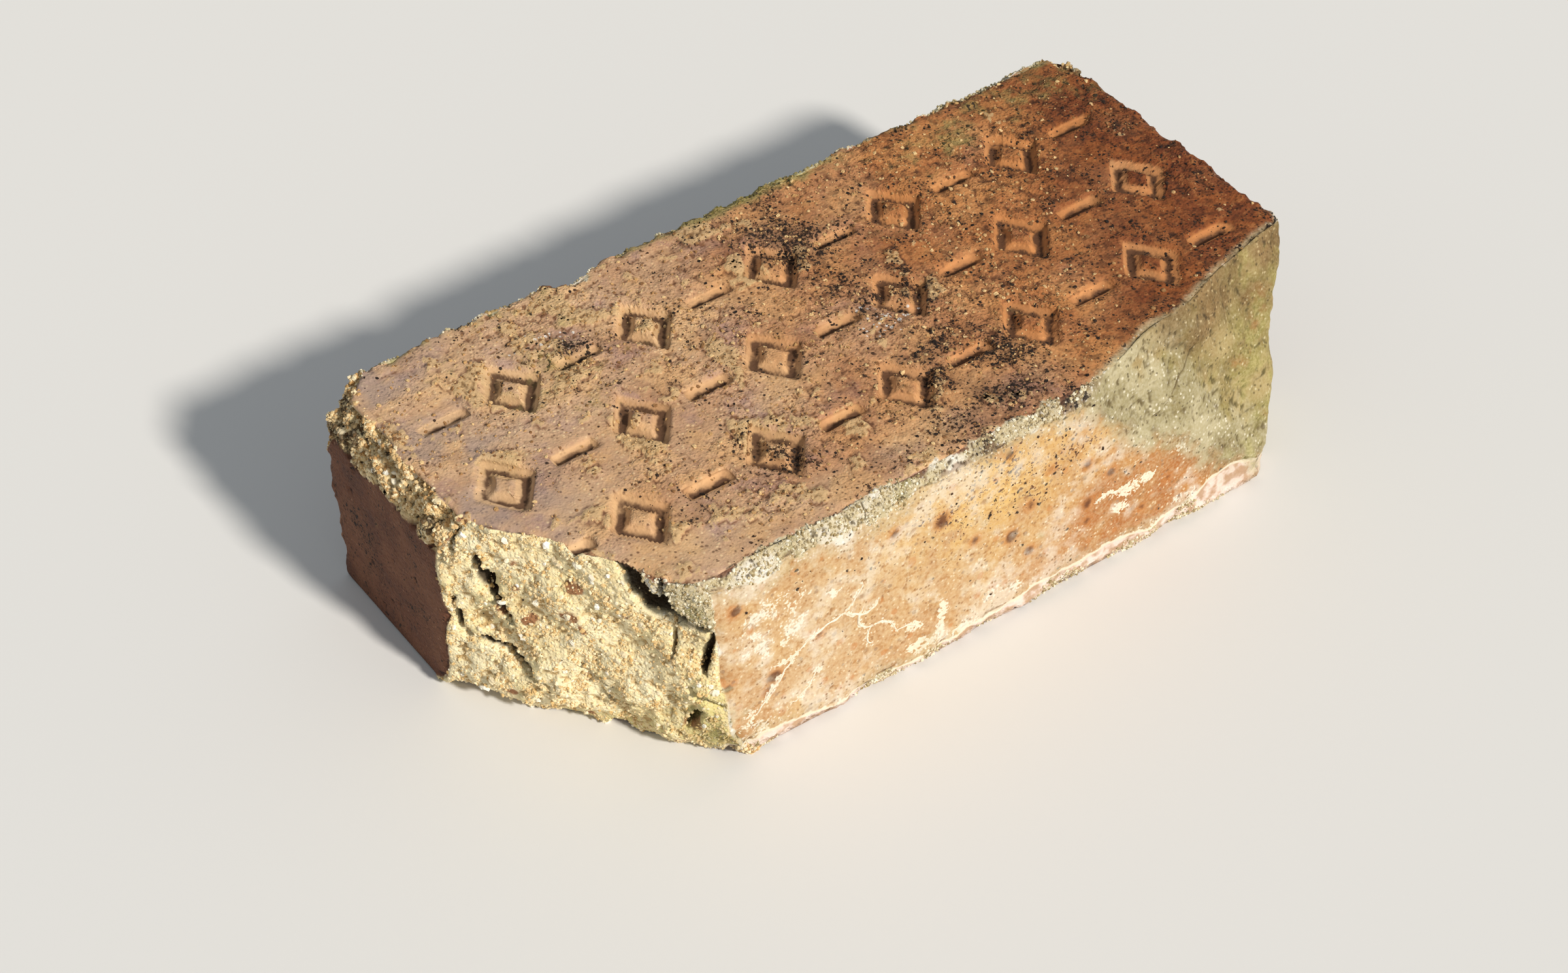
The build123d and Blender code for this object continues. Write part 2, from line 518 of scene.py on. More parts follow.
    def losses(self, points: Array) -> dict[Region, Array]:
        """How far outside each face of the brick the points lie.

        Args:
            points: places in metres, three numbers a row.

        Returns:
            For each region, the distance in metres, negative inside the clay.
        """
        x, y, z = points.T
        sheets = [self.corner_break(), *self.spalls(), *self.worn_arrises(), *self.corner_chips()]
        return largest([
            (Region.TOP, z - self.height + self.marks.depth_at(x, y)),
            (Region.UNDERSIDE, -z),
            (Region.FRONT, -y - self.half_width),
            (Region.BACK, y - self.half_width),
            (Region.NEAR_END, -x - self.half_length),
            (Region.FAR_END, x - self.half_length),
            *((sheet.region, sheet.lost(points)) for sheet in sheets),
            (Region.BACK_WEAR, self.notches(points)),
        ])

    def halves(self) -> tuple[Array, Array]:
        """The middle of the block, and half its size along each axis."""
        half = np.array([self.half_length, self.half_width, self.height / 2])
        return half * np.array([0.0, 0.0, 1.0]), half

    def kept_inside(self, points: Array) -> Array:
        """Move points that stray out of the brick's box back to its faces."""
        high = np.array([self.half_length, self.half_width, self.height])
        return np.clip(points, high * np.array([-1.0, -1.0, 0.0]), high)

    def rounded_block(self, points: Array) -> Array:
        """The block with softened arrises: a box shrunk by the radius, and then grown again.

        Args:
            points: places in metres.

        Returns:
            The distance of each point outside the block, in metres, negative inside it.
        """
        sunk = points.copy()
        sunk[:, 2] += self.marks.depth_at(points[:, 0], points[:, 1])
        middle, half = self.halves()
        over = np.abs(sunk - middle) - (half - self.arris_radius)
        outside = np.linalg.norm(np.maximum(over, 0.0), axis=1)
        return outside + np.minimum(over.max(axis=1), 0.0) - self.arris_radius

    def settled(self, outer: Array, inner: Array, halvings: int = 20) -> Array:
        """Slide each point inwards until it lies on the clay, by halving its path.

        Args:
            outer: starting points, on or outside the skin.
            inner: for each of them, a point that is inside the clay.
            halvings: how often the path is halved.

        Returns:
            The points on the skin.
        """
        low, high = np.zeros(len(outer)), np.ones(len(outer))
        for _ in range(halvings):
            share = (low + high) / 2
            points = outer + (inner - outer) * share[:, None]
            lost = np.max([self.rounded_block(points), *self.losses(points).values()], axis=0)
            gone = lost > 0
            low, high = np.where(gone, share, low), np.where(gone, high, share)
        return outer + (inner - outer) * high[:, None]


def graded(low: float, high: float, first_step: float, last_step: float, multiple: int = 1) -> Array:
    """Places from low to high whose spacing changes evenly from first_step to last_step.

    Args:
        low, high: the ends.
        first_step, last_step: the spacing at each end.
        multiple: the number of gaps is a multiple of this.

    Returns:
        The places: low plus the span times t(1 - b) + b t^2, where b is the steps' difference
        over their sum.
    """
    gaps = multiple * round((high - low) * 2 / (first_step + last_step) / multiple)
    share = np.linspace(0.0, 1.0, gaps + 1)
    bend = (last_step - first_step) / (last_step + first_step)
    return low + (high - low) * (share * (1 - bend) + share ** 2 * bend)


@dataclass(frozen=True)
class BlockLattice:
    """The skin of a block as one closed net of grid lines, coarser underneath."""

    x: Array
    y: Array
    z: Array
    stride: int = 3

    def number(self, i: Array, j: Array, k: Array) -> Array:
        """The number of the lattice point at line i, j and k."""
        return i + len(self.x) * (j + len(self.y) * k)

    def side(self, axis: int, last: bool) -> Array:
        """The four-cornered cells of one side, facing outwards.

        Args:
            axis: 0, 1 or 2, the axis that the side stands across.
            last: True for the side at the axis's high end.

        Returns:
            Four lattice numbers a row.
        """
        counts = [len(self.x), len(self.y), len(self.z)]
        lines = [np.arange(count) for count in counts]
        lines[axis] = np.array([counts[axis] - 1 if last else 0])
        numbers = self.number(*np.meshgrid(*lines, indexing="ij")).squeeze(axis=axis)
        cells = [numbers[:-1, :-1], numbers[1:, :-1], numbers[1:, 1:], numbers[:-1, 1:]]
        quads = np.stack(cells, axis=-1).reshape(-1, 4)
        return quads if last != (axis == 1) else quads[:, ::-1]

    def underside(self) -> list[Array]:
        """The cells below: each spans several lines, and keeps every point on the outer edge.

        Returns:
            One array of cells for each number of corners, facing down.
        """
        step = self.stride
        up = [(0, place) for place in range(step)]
        across = [(place, step) for place in range(step)]
        down = [(step, step - place) for place in range(step)]
        home = [(step - place, 0) for place in range(step)]
        ring = np.array(up + across + down + home)
        last_i, last_j = len(self.x) - 1 - step, len(self.y) - 1 - step
        i, j = np.meshgrid(np.arange(0, last_i + 1, step), np.arange(0, last_j + 1, step), indexing="ij")
        i, j = i.ravel(), j.ravel()
        borders = np.stack([i == 0, j == last_j, i == last_i, j == 0], axis=1)
        cells = []
        for kept in np.unique(borders, axis=0):
            chosen = (borders == kept).all(axis=1)
            used = np.repeat(kept, step) | (np.arange(len(ring)) % step == 0)
            spots = ring[used]
            cells.append(self.number(i[chosen, None] + spots[:, 0], j[chosen, None] + spots[:, 1], 0))
        return cells

    def net(self) -> tuple[Array, list[Array]]:
        """All points and cells of the closed skin.

        Returns:
            The points, and the cells as arrays of point numbers, one array for each cell shape.
        """
        cells = [self.side(axis, last) for axis in (0, 1) for last in (False, True)]
        cells = [np.concatenate([*cells, self.side(2, True)]), *self.underside()]
        used = np.unique(np.concatenate([group.ravel() for group in cells]))
        i = used % len(self.x)
        j = used // len(self.x) % len(self.y)
        k = used // (len(self.x) * len(self.y))
        points = np.stack([self.x[i], self.y[j], self.z[k]], axis=1)
        return points, [np.searchsorted(used, group) for group in cells]


def make_mesh(name: str, points: Array, cells: list[Array], smooth: bool) -> bpy.types.Object:
    """Put arrays of points and cells into a new mesh object at the origin.

    Args:
        name: the object's name.
        points: places in metres, three numbers a row.
        cells: arrays of point numbers, one array for each number of corners.
        smooth: True to shade across the cells' edges.

    Returns:
        The object, linked into the scene.
    """
    mesh = bpy.data.meshes.new(name)
    corners = np.concatenate([group.ravel() for group in cells]).astype(np.int32)
    counts = np.concatenate([np.full(len(group), group.shape[1]) for group in cells])
    starts = (np.cumsum(counts) - counts).astype(np.int32)
    mesh.vertices.add(len(points))
    mesh.vertices.foreach_set("co", points.astype(np.float32).ravel())
    mesh.loops.add(len(corners))
    mesh.loops.foreach_set("vertex_index", corners)
    mesh.polygons.add(len(counts))
    mesh.polygons.foreach_set("loop_start", starts)
    mesh.polygons.foreach_set("use_smooth", np.full(len(counts), smooth))
    mesh.update(calc_edges=True)
    mesh.validate()
    made = bpy.data.objects.new(name, mesh)
    bpy.context.scene.collection.objects.link(made)
    return made


def add_field(made: bpy.types.Object, name: str, values: Array) -> None:
    """Store one number for each point of a mesh, for its material to read."""
    attribute = made.data.attributes.new(name, "FLOAT", "POINT")
    attribute.data.foreach_set("value", values.astype(np.float32))


def fan(cells: list[Array]) -> Array:
    """Cut every cell into triangles that share its first corner.

    Args:
        cells: point numbers, one array for each kind of cell, with one cell a row.

    Returns:
        Point numbers, one triangle a row.
    """
    triangles = []
    for group in cells:
        for corner in range(1, group.shape[1] - 1):
            triangles.append(group[:, [0, corner, corner + 1]])
    return np.concatenate(triangles)


def point_normals(points: Array, triangles: Array) -> Array:
    """The outward direction at each point: its triangles' cross products, added and made unit.

    Args:
        points: places in metres.
        triangles: point numbers, one triangle a row.

    Returns:
        One unit direction for each point.
    """
    a, b, c = (points[triangles[:, corner]] for corner in range(3))
    across = np.cross(b - a, c - a)
    total = np.zeros_like(points)
    for axis in range(3):
        for corner in range(3):
            total[:, axis] += np.bincount(triangles[:, corner], across[:, axis], len(points))
    return total / np.maximum(np.linalg.norm(total, axis=1, keepdims=True), 1e-20)


def neighbour_mean(values: Array, triangles: Array, rounds: int) -> Array:
    """Average a value at each point with those of its neighbours, a number of times over.

    Args:
        values: one number, or one row of numbers, for each point.
        triangles: point numbers, three a row.
        rounds: how often the average is taken.

    Returns:
        The averaged values, in the shape that they came in.
    """
    ends = np.concatenate([triangles[:, [0, 1]], triangles[:, [1, 2]], triangles[:, [2, 0]]])
    count = np.bincount(ends[:, 0], minlength=len(values))
    columns = values.reshape(len(values), -1).copy()
    for _ in range(rounds):
        for column in range(columns.shape[1]):
            total = np.bincount(ends[:, 0], columns[ends[:, 1], column], len(values))
            columns[:, column] = 0.5 * columns[:, column] + 0.5 * total / np.maximum(count, 1)
    return columns.reshape(values.shape)


def curve_through(start: tuple, bend: tuple, end: tuple, steps: int = 8) -> Array:
    """Places on a bent line, (1 - t)^2 start + 2t(1 - t) pull + t^2 end, that passes the bend.

    Args:
        start, bend, end: the line's ends, and the place that it passes halfway.
        steps: how many pieces it is cut into.

    Returns:
        The places. The pull is twice the bend less the mean of the two ends.
    """
    share = np.linspace(0.0, 1.0, steps + 1)[:, None]
    first, last = np.array(start), np.array(end)
    pull = 2 * np.array(bend) - (first + last) / 2
    return (1 - share) ** 2 * first + 2 * share * (1 - share) * pull + share ** 2 * last


def from_curve(places: Array, curve: Array) -> tuple[Array, Array, Array]:
    """How places lie to a bent line.

    Args:
        places: two numbers a row.
        curve: the line's own places, in order.

    Returns:
        The distance to the line, how far along it the nearest point is, and 1 to the left of
        its course or -1 to the right.
    """
    nearest = np.full(len(places), np.inf)
    along = np.zeros(len(places))
    side = np.ones(len(places))
    for number, (a, b) in enumerate(zip(curve[:-1], curve[1:])):
        ahead, offset = b - a, places - a
        share = np.clip(offset @ ahead / ahead.dot(ahead), 0.0, 1.0)
        away = np.linalg.norm(offset - share[:, None] * ahead, axis=1)
        closer = away < nearest
        along = np.where(closer, (number + share) / (len(curve) - 1), along)
        side = np.where(closer, np.sign(ahead[0] * offset[:, 1] - ahead[1] * offset[:, 0]), side)
        nearest = np.minimum(nearest, away)
    return nearest, along, side


@dataclass(frozen=True)
class Crevice:
    """A deep gap in the broken face, along a bent line of places (u, height), in millimetres.

    The slab on the left of its course stands higher by the rise, and the one on its right by
    the shoulder. Both sink back over the run.
    """

    start: tuple[float, float]
    bend: tuple[float, float]
    end: tuple[float, float]
    width: float
    depth: float
    rise: float = 0.0
    run: float = 6.0
    shoulder: float = 0.0


FRONT_CREVICE = Crevice((50.0, 68.0), (56.5, 55.0), (68.5, 48.5), 7.0, 6.4, 1.3, 8.0, 0.7)
CREVICES = (
    FRONT_CREVICE,
    Crevice((12.0, 52.0), (14.5, 43.0), (19.0, 33.0), 3.1, 5.0, 1.1, 7.0),
    Crevice((4.0, 37.0), (5.0, 30.0), (6.5, 24.0), 1.5, 2.8, 0.8, 4.0),
    Crevice((7.0, 24.5), (17.5, 22.0), (27.0, 14.5), 2.4, 4.4, 0.6, 5.0),
    Crevice((22.0, 20.5), (23.0, 17.5), (25.5, 16.0), 1.3, 2.6),
    Crevice((6.8, 63.0), (7.2, 57.0), (5.8, 52.0), 1.6, 3.0, 0.8, 4.0),
    Crevice((2.5, 57.0), (1.5, 52.0), (2.5, 48.0), 1.3, 2.2),
    Crevice((40.0, 16.5), (43.0, 14.0), (47.0, 14.5), 2.0, 3.2),
    Crevice((60.0, 63.5), (61.0, 57.5), (63.8, 52.0), 2.6, 4.2, 0.9, 4.0),
    Crevice((60.4, 47.0), (60.6, 42.0), (60.0, 36.0), 1.1, 1.8, 0.5, 4.0),
    Crevice((71.0, 47.0), (69.2, 40.0), (68.0, 33.5), 2.2, 4.0, 1.1, 4.0),
    Crevice((63.5, 27.5), (67.0, 25.5), (71.0, 21.0), 1.6, 3.0, 0.7, 4.0),
    Crevice((66.5, 18.5), (64.0, 15.5), (61.5, 11.5), 2.2, 3.4),
    Crevice((35.0, 24.5), (39.0, 21.0), (43.0, 18.5), 1.0, 1.4, 0.5, 5.0),
    Crevice((17.0, 31.0), (20.5, 28.0), (23.5, 25.5), 1.1, 1.6, 0.5, 5.0),
)


@dataclass(frozen=True)
class SkinRelief:
    """The fine shape of every kind of surface, as a height along the outward direction.

    Heights are reckoned in millimetres, and each surface's method gives them in metres.
    """

    form: BrickForm
    waves: ClayNoise = ClayNoise(11)
    grit: ClayNoise = ClayNoise(23)
    clumps: ClayNoise = ClayNoise(37)
    pits: ClayNoise = ClayNoise(53)
    bed_wear: float = 0.65
    panel_depth: float = 0.22
    panel_edges: Point = (-107.5 * MM, -45.5 * MM, 50.0 * MM)
    split: tuple = ((60.0, 43.0), (68.0, 47.5), (74.0, 51.0))

    def domes(self, points: Array, cell: float, reach: float = 0.75) -> Array:
        """Rounded lumps, one in each cell: 1 at a lump's middle, 0 at its foot."""
        away, _ = self.clumps.grains(points, cell)
        return np.clip(1.0 - (away / reach) ** 2, 0.0, 1.0)

    def bumps(self, points: Array, cell: float) -> Array:
        """The same lumps, less their mean height of about 0.4."""
        return self.domes(points, cell) - 0.4

    def holes(self, points: Array, cell: float, radius: float, share: float) -> Array:
        """Round pits, radius in cells, in a share of the cells: 1 at the middle, 0 at the rim."""
        away, tone = self.pits.grains(points, cell)
        return np.clip(1.0 - (away / radius) ** 2, 0.0, 1.0) * (tone < share)

    def steps(self, points: Array, size: float) -> Array:
        """Ledges along the contour lines of noise: flat treads, each ending in a steep riser.

        Args:
            points: places in metres.
            size: the largest cell of the noise, in metres.

        Returns:
            How many risers high each point lies.
        """
        rise = 2.2 * self.clumps.layered(points + 0.6, size, 2)
        tread = np.floor(rise)
        return tread + ease(rise - tread, 0.72, 1.0)

    def crust(self, points: Array) -> Array:
        """Ragged islands of hardened dirt on the bed, as a share: most towards the near back corner.

        Args:
            points: places in metres.

        Returns:
            One share for each point.
        """
        x, y, _ = points.T / MM
        islands = self.clumps.layered(points + 0.35, 11 * MM, 4, 0.62)
        near_back = 0.34 * hill(np.hypot(x + 66.0, y - 32.0), 0.0, 24.0)
        front_row = 0.3 * hill(np.hypot(0.6 * (x + 38.0), y + 28.0), 0.0, 8.0)
        return ease(islands + near_back + front_row - 0.6 * ease(x, 5.0, 50.0), 0.38, 0.68)

    def roughness(self, points: Array) -> Array:
        """How rough the bed is, as a share: smooth by the near end and along the near front edge.

        Args:
            points: places in metres.

        Returns:
            One share for each point.
        """
        x, y, _ = points.T / MM
        front_edge = ease(-y, 36.0, 42.0) * ease(-x, 0.0, 25.0)
        ground = 0.12 + 0.5 * ease(x + 0.3 * y, -100.0, -40.0) - 0.3 * front_edge
        return np.clip(ground + 0.55 * self.waves.layered(points + 0.3, 15 * MM, 3), 0.04, 1.0)

    def bed(self, points: Array) -> Array:
        """The marked bed: slow waves, grit, crumbs, hardened islands, pits and a faint sunk panel.

        Args:
            points: places in metres.

        Returns:
            One height for each point, in metres.
        """
        x, y, _ = points.T
        slow = 0.28 * self.waves.smooth(points, 42 * MM)
        plain = 1.0 - 0.85 * ease(self.form.marks.depth_at(x, y), 0.1 * MM, 0.6 * MM)
        rough = self.roughness(points)
        grit = (0.06 + 0.3 * rough) * self.grit.layered(points, 2.6 * MM, 2)
        crumbs = rough * (0.5 * self.domes(points, 2.1 * MM) + 0.35 * self.domes(points + 0.4, 3.9 * MM))
        islands = self.crust(points) * (0.3 + 0.45 * self.domes(points + 0.2, 1.7 * MM))
        pits = 0.7 * self.holes(points, 4.2 * MM, 0.2, 0.5)
        near, front, back = self.panel_edges
        inset = np.minimum(y - front, np.minimum(x - near, back - y))
        panel = self.panel_depth * ease(inset, -0.45 * MM, 0.45 * MM)
        return MM * (slow + plain * (grit + crumbs + islands - pits) - panel - self.bed_wear)

    def front(self, points: Array) -> Array:
        """The long face: nearly smooth, with small pits and a few shallow scars.

        Args:
            points: places in metres.

        Returns:
            One height for each point, in metres.
        """
        slow = 0.22 * self.waves.smooth(points, 55 * MM)
        grit = 0.05 * self.grit.layered(points, 1.8 * MM, 2)
        pits = 0.6 * self.holes(points, 4.5 * MM, 0.17, 0.4)
        scars = 0.25 * ease(self.waves.layered(points + 0.7, 9 * MM, 2), 0.45, 0.75)
        x, _, z = points.T / MM
        crust_top = 5.0 + 2.0 * self.grit.layered(points, 9 * MM, 3)
        crusted = ease(crust_top - z, -0.3, 0.7) * ease(x, -30.0, 10.0)
        return MM * (slow + grit - pits - scars + 0.25 * crusted - 0.4)

    def skin(self, points: Array) -> Array:
        """The back and the ends: slow waves, drag grit and pits.

        Args:
            points: places in metres.

        Returns:
            One height for each point, in metres.
        """
        slow = 0.3 * self.waves.smooth(points, 38 * MM)
        stretched = points * np.array([0.35, 0.35, 1.0])
        drag = 0.12 * self.grit.layered(stretched, 2.2 * MM, 2)
        pits = 0.7 * self.holes(points, 6.0 * MM, 0.2, 0.5)
        return MM * (slow + drag - pits - 0.45)

    def underside(self, points: Array) -> Array:
        """The face that the brick lies on: almost flat."""
        return -0.12 * MM * np.abs(self.waves.smooth(points, 20 * MM))

    def on_break(self, points: Array) -> Array:
        """Where points lie on the big break: u and the height, in millimetres."""
        u, v = self.form.corner_break().place(points)
        return np.stack([u, self.form.height - v], axis=1) / MM

    def crevices(self, points: Array) -> tuple[Array, Array]:
        """The crevices of the big break, whose lines wander with noise.

        Args:
            points: places in metres.

        Returns:
            How deep they are cut and how high the slabs beside them stand, in millimetres.
        """
        stray = [self.waves.smooth(points, 5 * MM), self.grit.smooth(points, 5 * MM)]
        places = self.on_break(points) + 0.8 * np.stack(stray, axis=1)
        cut, slab = np.zeros(len(points)), np.zeros(len(points))
        for crevice in CREVICES:
            away, along, side = from_curve(places, curve_through(crevice.start, crevice.bend, crevice.end))
            thin = np.sqrt(np.clip(4 * along * (1 - along), 0.0, 1.0))
            half = crevice.width / 2 * np.maximum(thin, 0.5)
            beside = np.abs(side * away + 0.8 * crevice.rise * thin)
            cut = np.maximum(cut, 1.25 * crevice.depth * (1 - ease(beside / half, 0.4, 1.3)))
            step = crevice.shoulder + (crevice.rise - crevice.shoulder) * ease(side * away, -0.3, 0.5)
            slab += step * thin * np.exp(-away / crevice.run)
        return cut, slab

    def facet(self, points: Array) -> Array:
        """How far inside the worn facet over the front crevice points lie, in millimetres.

        Args:
            points: places in metres.

        Returns:
            One distance for each point, negative outside the facet.
        """
        stray = 1.2 * self.waves.layered(points + 0.5, 4 * MM, 2)
        line = curve_through(FRONT_CREVICE.start, FRONT_CREVICE.bend, FRONT_CREVICE.end)
        away, _, side = from_curve(self.on_break(points), line)
        return side * away + stray

    def broken(self, points: Array) -> Array:
        """The big break: slabs, ledges and clumps of coarse grains, cut by deep crevices.

        Args:
            points: places in metres.

        Returns:
            One height for each point, in metres.
        """
        big = 0.7 * self.clumps.layered(points, 13 * MM, 3)
        u, up = self.on_break(points).T
        near_or_low = ease(u, 26.0, 12.0) + ease(up, 26.0, 18.0)
        rough = np.clip(0.45 + near_or_low + 0.15 * ease(u, 58.0, 64.0), 0.0, 1.0)
        ledges = 0.65 * (rough - 0.3 * ease(u, 54.0, 62.0)) * self.steps(points, 8.5 * MM)
        lumps = 0.55 * rough * self.bumps(points, 4.2 * MM)
        grains = 0.5 * self.bumps(points + 0.1, 2.4 * MM) + 0.16 * self.bumps(points + 0.2, 1.3 * MM)
        cut, slab = self.crevices(points)
        return MM * (big + ledges + lumps + grains + slab - cut - 0.3)

    def spalled(self, points: Array) -> Array:
        """The spalled faces: rough clay, worn a little soft.

        Args:
            points: places in metres.

        Returns:
            One height for each point, in metres.
        """
        big = 0.6 * self.clumps.layered(points, 9 * MM, 3) + 0.25 * self.steps(points, 11 * MM)
        grains = 0.22 * self.domes(points, 3.0 * MM) + 0.16 * self.domes(points + 0.2, 1.6 * MM)
        pits = 0.4 * self.holes(points, 5.0 * MM, 0.2, 0.4)
        places = points[:, [0, 2]] / MM + 0.8 * self.grit.smooth(points, 3 * MM)[:, None]
        split, _, _ = from_curve(places, curve_through(*self.split))
        return MM * (big + grains - pits - 0.9 * ease(split, 0.7, 0.3) - 0.3)

    def chipped(self, points: Array) -> Array:
        """The chipped near arris and corners: crumbling lumps and gaps.

        Args:
            points: places in metres.

        Returns:
            One height for each point, in metres.
        """
        big = 0.9 * self.clumps.layered(points, 8 * MM, 2)
        grains = 2.3 * self.bumps(points, 5.4 * MM) + 0.9 * self.bumps(points + 0.2, 2.6 * MM)
        gaps = 3.0 * ease(np.abs(self.pits.layered(points + 0.4, 8 * MM, 2)), 0.13, 0.02)
        crumbling = 1.0 + 0.4 * ease(points[:, 1], -5 * MM, 20 * MM)
        return MM * (big + 0.5 * self.steps(points, 6 * MM) + (grains - gaps) * crumbling - 0.4)

    def worn(self, points: Array) -> Array:
        """The worn arrises: ragged, with small grains standing out.

        Args:
            points: places in metres.

        Returns:
            One height for each point, in metres.
        """
        big = 0.5 * self.clumps.layered(points, 6 * MM, 3)
        grains = 0.5 * self.bumps(points, 2.2 * MM) + 0.25 * self.bumps(points + 0.2, 1.2 * MM)
        return MM * (big + grains - 0.45)

    def height(self, surface: Surface, points: Array) -> Array:
        """The height at each point, in metres, by the method named after the kind of surface."""
        return getattr(self, surface.value)(points)


# Millimetres: how far the fields of distance reach to each side of an edge, what counts as far
# off, and the y below which a place belongs to the front.
FIELD_REACH = 4.0
FAR_OFF = 9.0
FRONT_BELOW = -54.0


@dataclass(frozen=True)
class Deposits:
    """Where soot, algae, lime and rusted iron lie on the brick; places in millimetres."""

    form: BrickForm
    drift: ClayNoise = ClayNoise(71)
    soot_clumps: tuple = (
        (11.0, 33.0, 6.5, 11.0), (22.0, 1.0, 5.0, 9.0), (9.0, -31.0, 4.0, 8.0), (25.0, -31.0, 4.5, 6.5),
        (20.0, -45.0, 7.0, 4.0), (-58.0, 30.0, 8.0, 9.0), (-58.0, -30.0, 6.0, 6.0), (-38.0, -30.0, 5.0, 7.0),
        (2.0, -56.0, 4.0, 4.0), (30.0, -56.0, 3.0, 4.0),
    )
    granular_patches: tuple = (
        (-66.0, 11.0, 9.0, 8.0), (-60.0, 42.0, 13.0, 12.0), (8.0, 12.0, 16.0, 4.0), (66.0, 10.0, 9.0, 4.0),
    )
    iron_spots: tuple = (
        (-11.0, 46.0, 2.0), (10.0, 28.5, 1.7), (34.0, 26.0, 1.7), (38.0, 54.0, 1.9), (-60.0, 24.0, 1.7),
        (-73.0, 28.0, 0.9), (-70.0, 51.5, 1.4), (-1.0, 33.7, 1.1), (16.0, 35.5, 1.0), (33.5, 39.0, 1.2),
        (41.0, 32.5, 1.2), (9.0, 56.0, 1.2), (16.0, 20.5, 1.1), (34.0, 20.0, 1.0), (-47.0, 30.0, 0.9),
        (-25.0, 50.0, 1.0), (52.0, 14.0, 1.0), (-62.0, 20.0, 1.1), (22.0, 44.0, 0.9), (60.0, 20.0, 0.9),
    )
    lime_patches: tuple = (
        (-18.5, 8.5, 3.2, 1.7), (-14.5, 6.5, 3.6, 1.5), (-19.0, 14.8, 1.9, 1.3), (-11.0, 12.0, 1.1, 4.5),
        (-10.5, 16.8, 1.3, 1.7), (-4.5, 6.0, 3.8, 1.6), (12.5, 11.0, 1.5, 1.3), (47.0, 23.5, 4.0, 1.8),
        (52.5, 24.5, 3.4, 1.6), (45.0, 18.5, 2.0, 1.4), (-65.0, 40.5, 1.5, 1.2), (-57.0, 33.5, 1.5, 1.0),
        (-42.0, 41.0, 1.6, 1.1), (63.0, 28.5, 1.7, 1.2), (-40.0, 2.5, 1.8, 1.2), (-48.0, 18.0, 0.9, 0.8),
        (20.0, 3.5, 6.0, 1.4), (-62.0, 33.5, 1.1, 0.8), (36.0, 4.0, 7.0, 1.6), (60.0, 5.0, 8.0, 1.7),
    )

    def drifted(self, share: Array, points: Array, shift: float, size: float, sway: float = 0.3) -> Array:
        """A share swayed by noise of the given size in millimetres, and kept from 0 to 1."""
        return np.clip(share + sway * self.drift.layered(points + shift, size * MM, 3), 0.0, 1.0)

    def soot(self, points: Array) -> Array:
        """The share of soot at each point: in clumps down a slanting band, and light near the break; over the
        chipped near arris and the top of the near end it is painted shade.

        Args:
            points: places in metres.

        Returns:
            One share for each point.
        """
        x, y, z = points.T / MM
        band = hill(x - 12.0 + 0.22 * (y - 10.0), 0.0, 15.0)
        clumps = np.zeros(len(points))
        for middle_x, middle_y, wide, tall in self.soot_clumps:
            away = np.hypot((x - middle_x) / wide, (y - middle_y) / tall)
            clumps = np.maximum(clumps, hill(away, 0.0, 1.0))
        front_edge = hill(x - 20.0, 0.0, 45.0) * ease(-y, 30.0, 42.0)
        spread = 0.24 * ease(x, -75.0, 5.0) + 0.1 * ease(x, 50.0, 90.0) + 0.06 * front_edge
        # painted shade: darkens the chipped near arris and the top of the near end, carried in the soot field
        chip_shade = 0.4 * ease(-x, 104.0, 110.0) * ease(y, -5.0, 20.0) * ease(63.0 - z, 0.5, 2.0)
        bed = np.clip(0.06 + 0.26 * band + 0.6 * clumps + spread, 0.0, 1.0) + chip_shade
        face = 0.75 * hill(x, 8.0, 34.0) * ease(z, 26.0, 50.0) + 0.08 * ease(x, -60.0, 40.0)
        on_front = ease(-y, 56.0, 56.9) * ease(61.0 - z, -1.0, 1.0)
        uneven = 0.35 * self.drift.layered(points, 9 * MM, 4, 0.6)
        return np.clip(np.where(on_front > 0.5, face, bed) + uneven, 0.0, 1.0)

    def gathered(self, points: Array) -> Array:
        """Where loose crumbs gather: small islands in noise, as a share."""
        return ease(self.drift.layered(points + 0.2, 5 * MM, 3), 0.0, 0.45)

    def deep(self, points: Array) -> Array:
        """How far the bed has turned from orange to dark red brown, at the far end."""
        x, y, _ = points.T / MM
        return self.drifted(ease(x - 0.3 * y, 46.0, 100.0), points, 0.6, 16)

    def cool(self, points: Array) -> Array:
        """The share of grey lilac in the bed, along the chipped near arris.

        Args:
            points: places in metres.

        Returns:
            One share for each point.
        """
        x, y, _ = points.T / MM
        near = ease(-x, 72.0, 106.0) * ease(y, -46.0, -20.0)
        return np.clip(near * (0.6 + 1.5 * self.drift.layered(points + 0.9, 11 * MM, 3)), 0.0, 1.0)

    def golden(self, points: Array) -> Array:
        """The share of golden yellow in the front, round its middle and upper right.

        Args:
            points: places in metres.

        Returns:
            One share for each point.
        """
        x, _, z = points.T / MM
        middle = hill(np.hypot((x - 8.0) / 30.0, (z - 48.0) / 17.0), 0.0, 1.0)
        return self.drifted(middle, points, 0.8, 10)

    def olive(self, points: Array) -> Array:
        """The share of olive in the big break: low down, and beside the front.

        Args:
            points: places in metres.

        Returns:
            One share for each point.
        """
        u, v = np.array(self.form.corner_break().place(points)) / MM
        low = 0.7 * ease(v, 48.0, 60.0) * (0.4 + 0.6 * ease(u, 20.0, 50.0))
        beside = ease(u, 57.0, 70.0) * ease(v, 22.0, 44.0)
        return self.drifted(np.maximum(low, beside), points, 0.3, 8, 0.35)

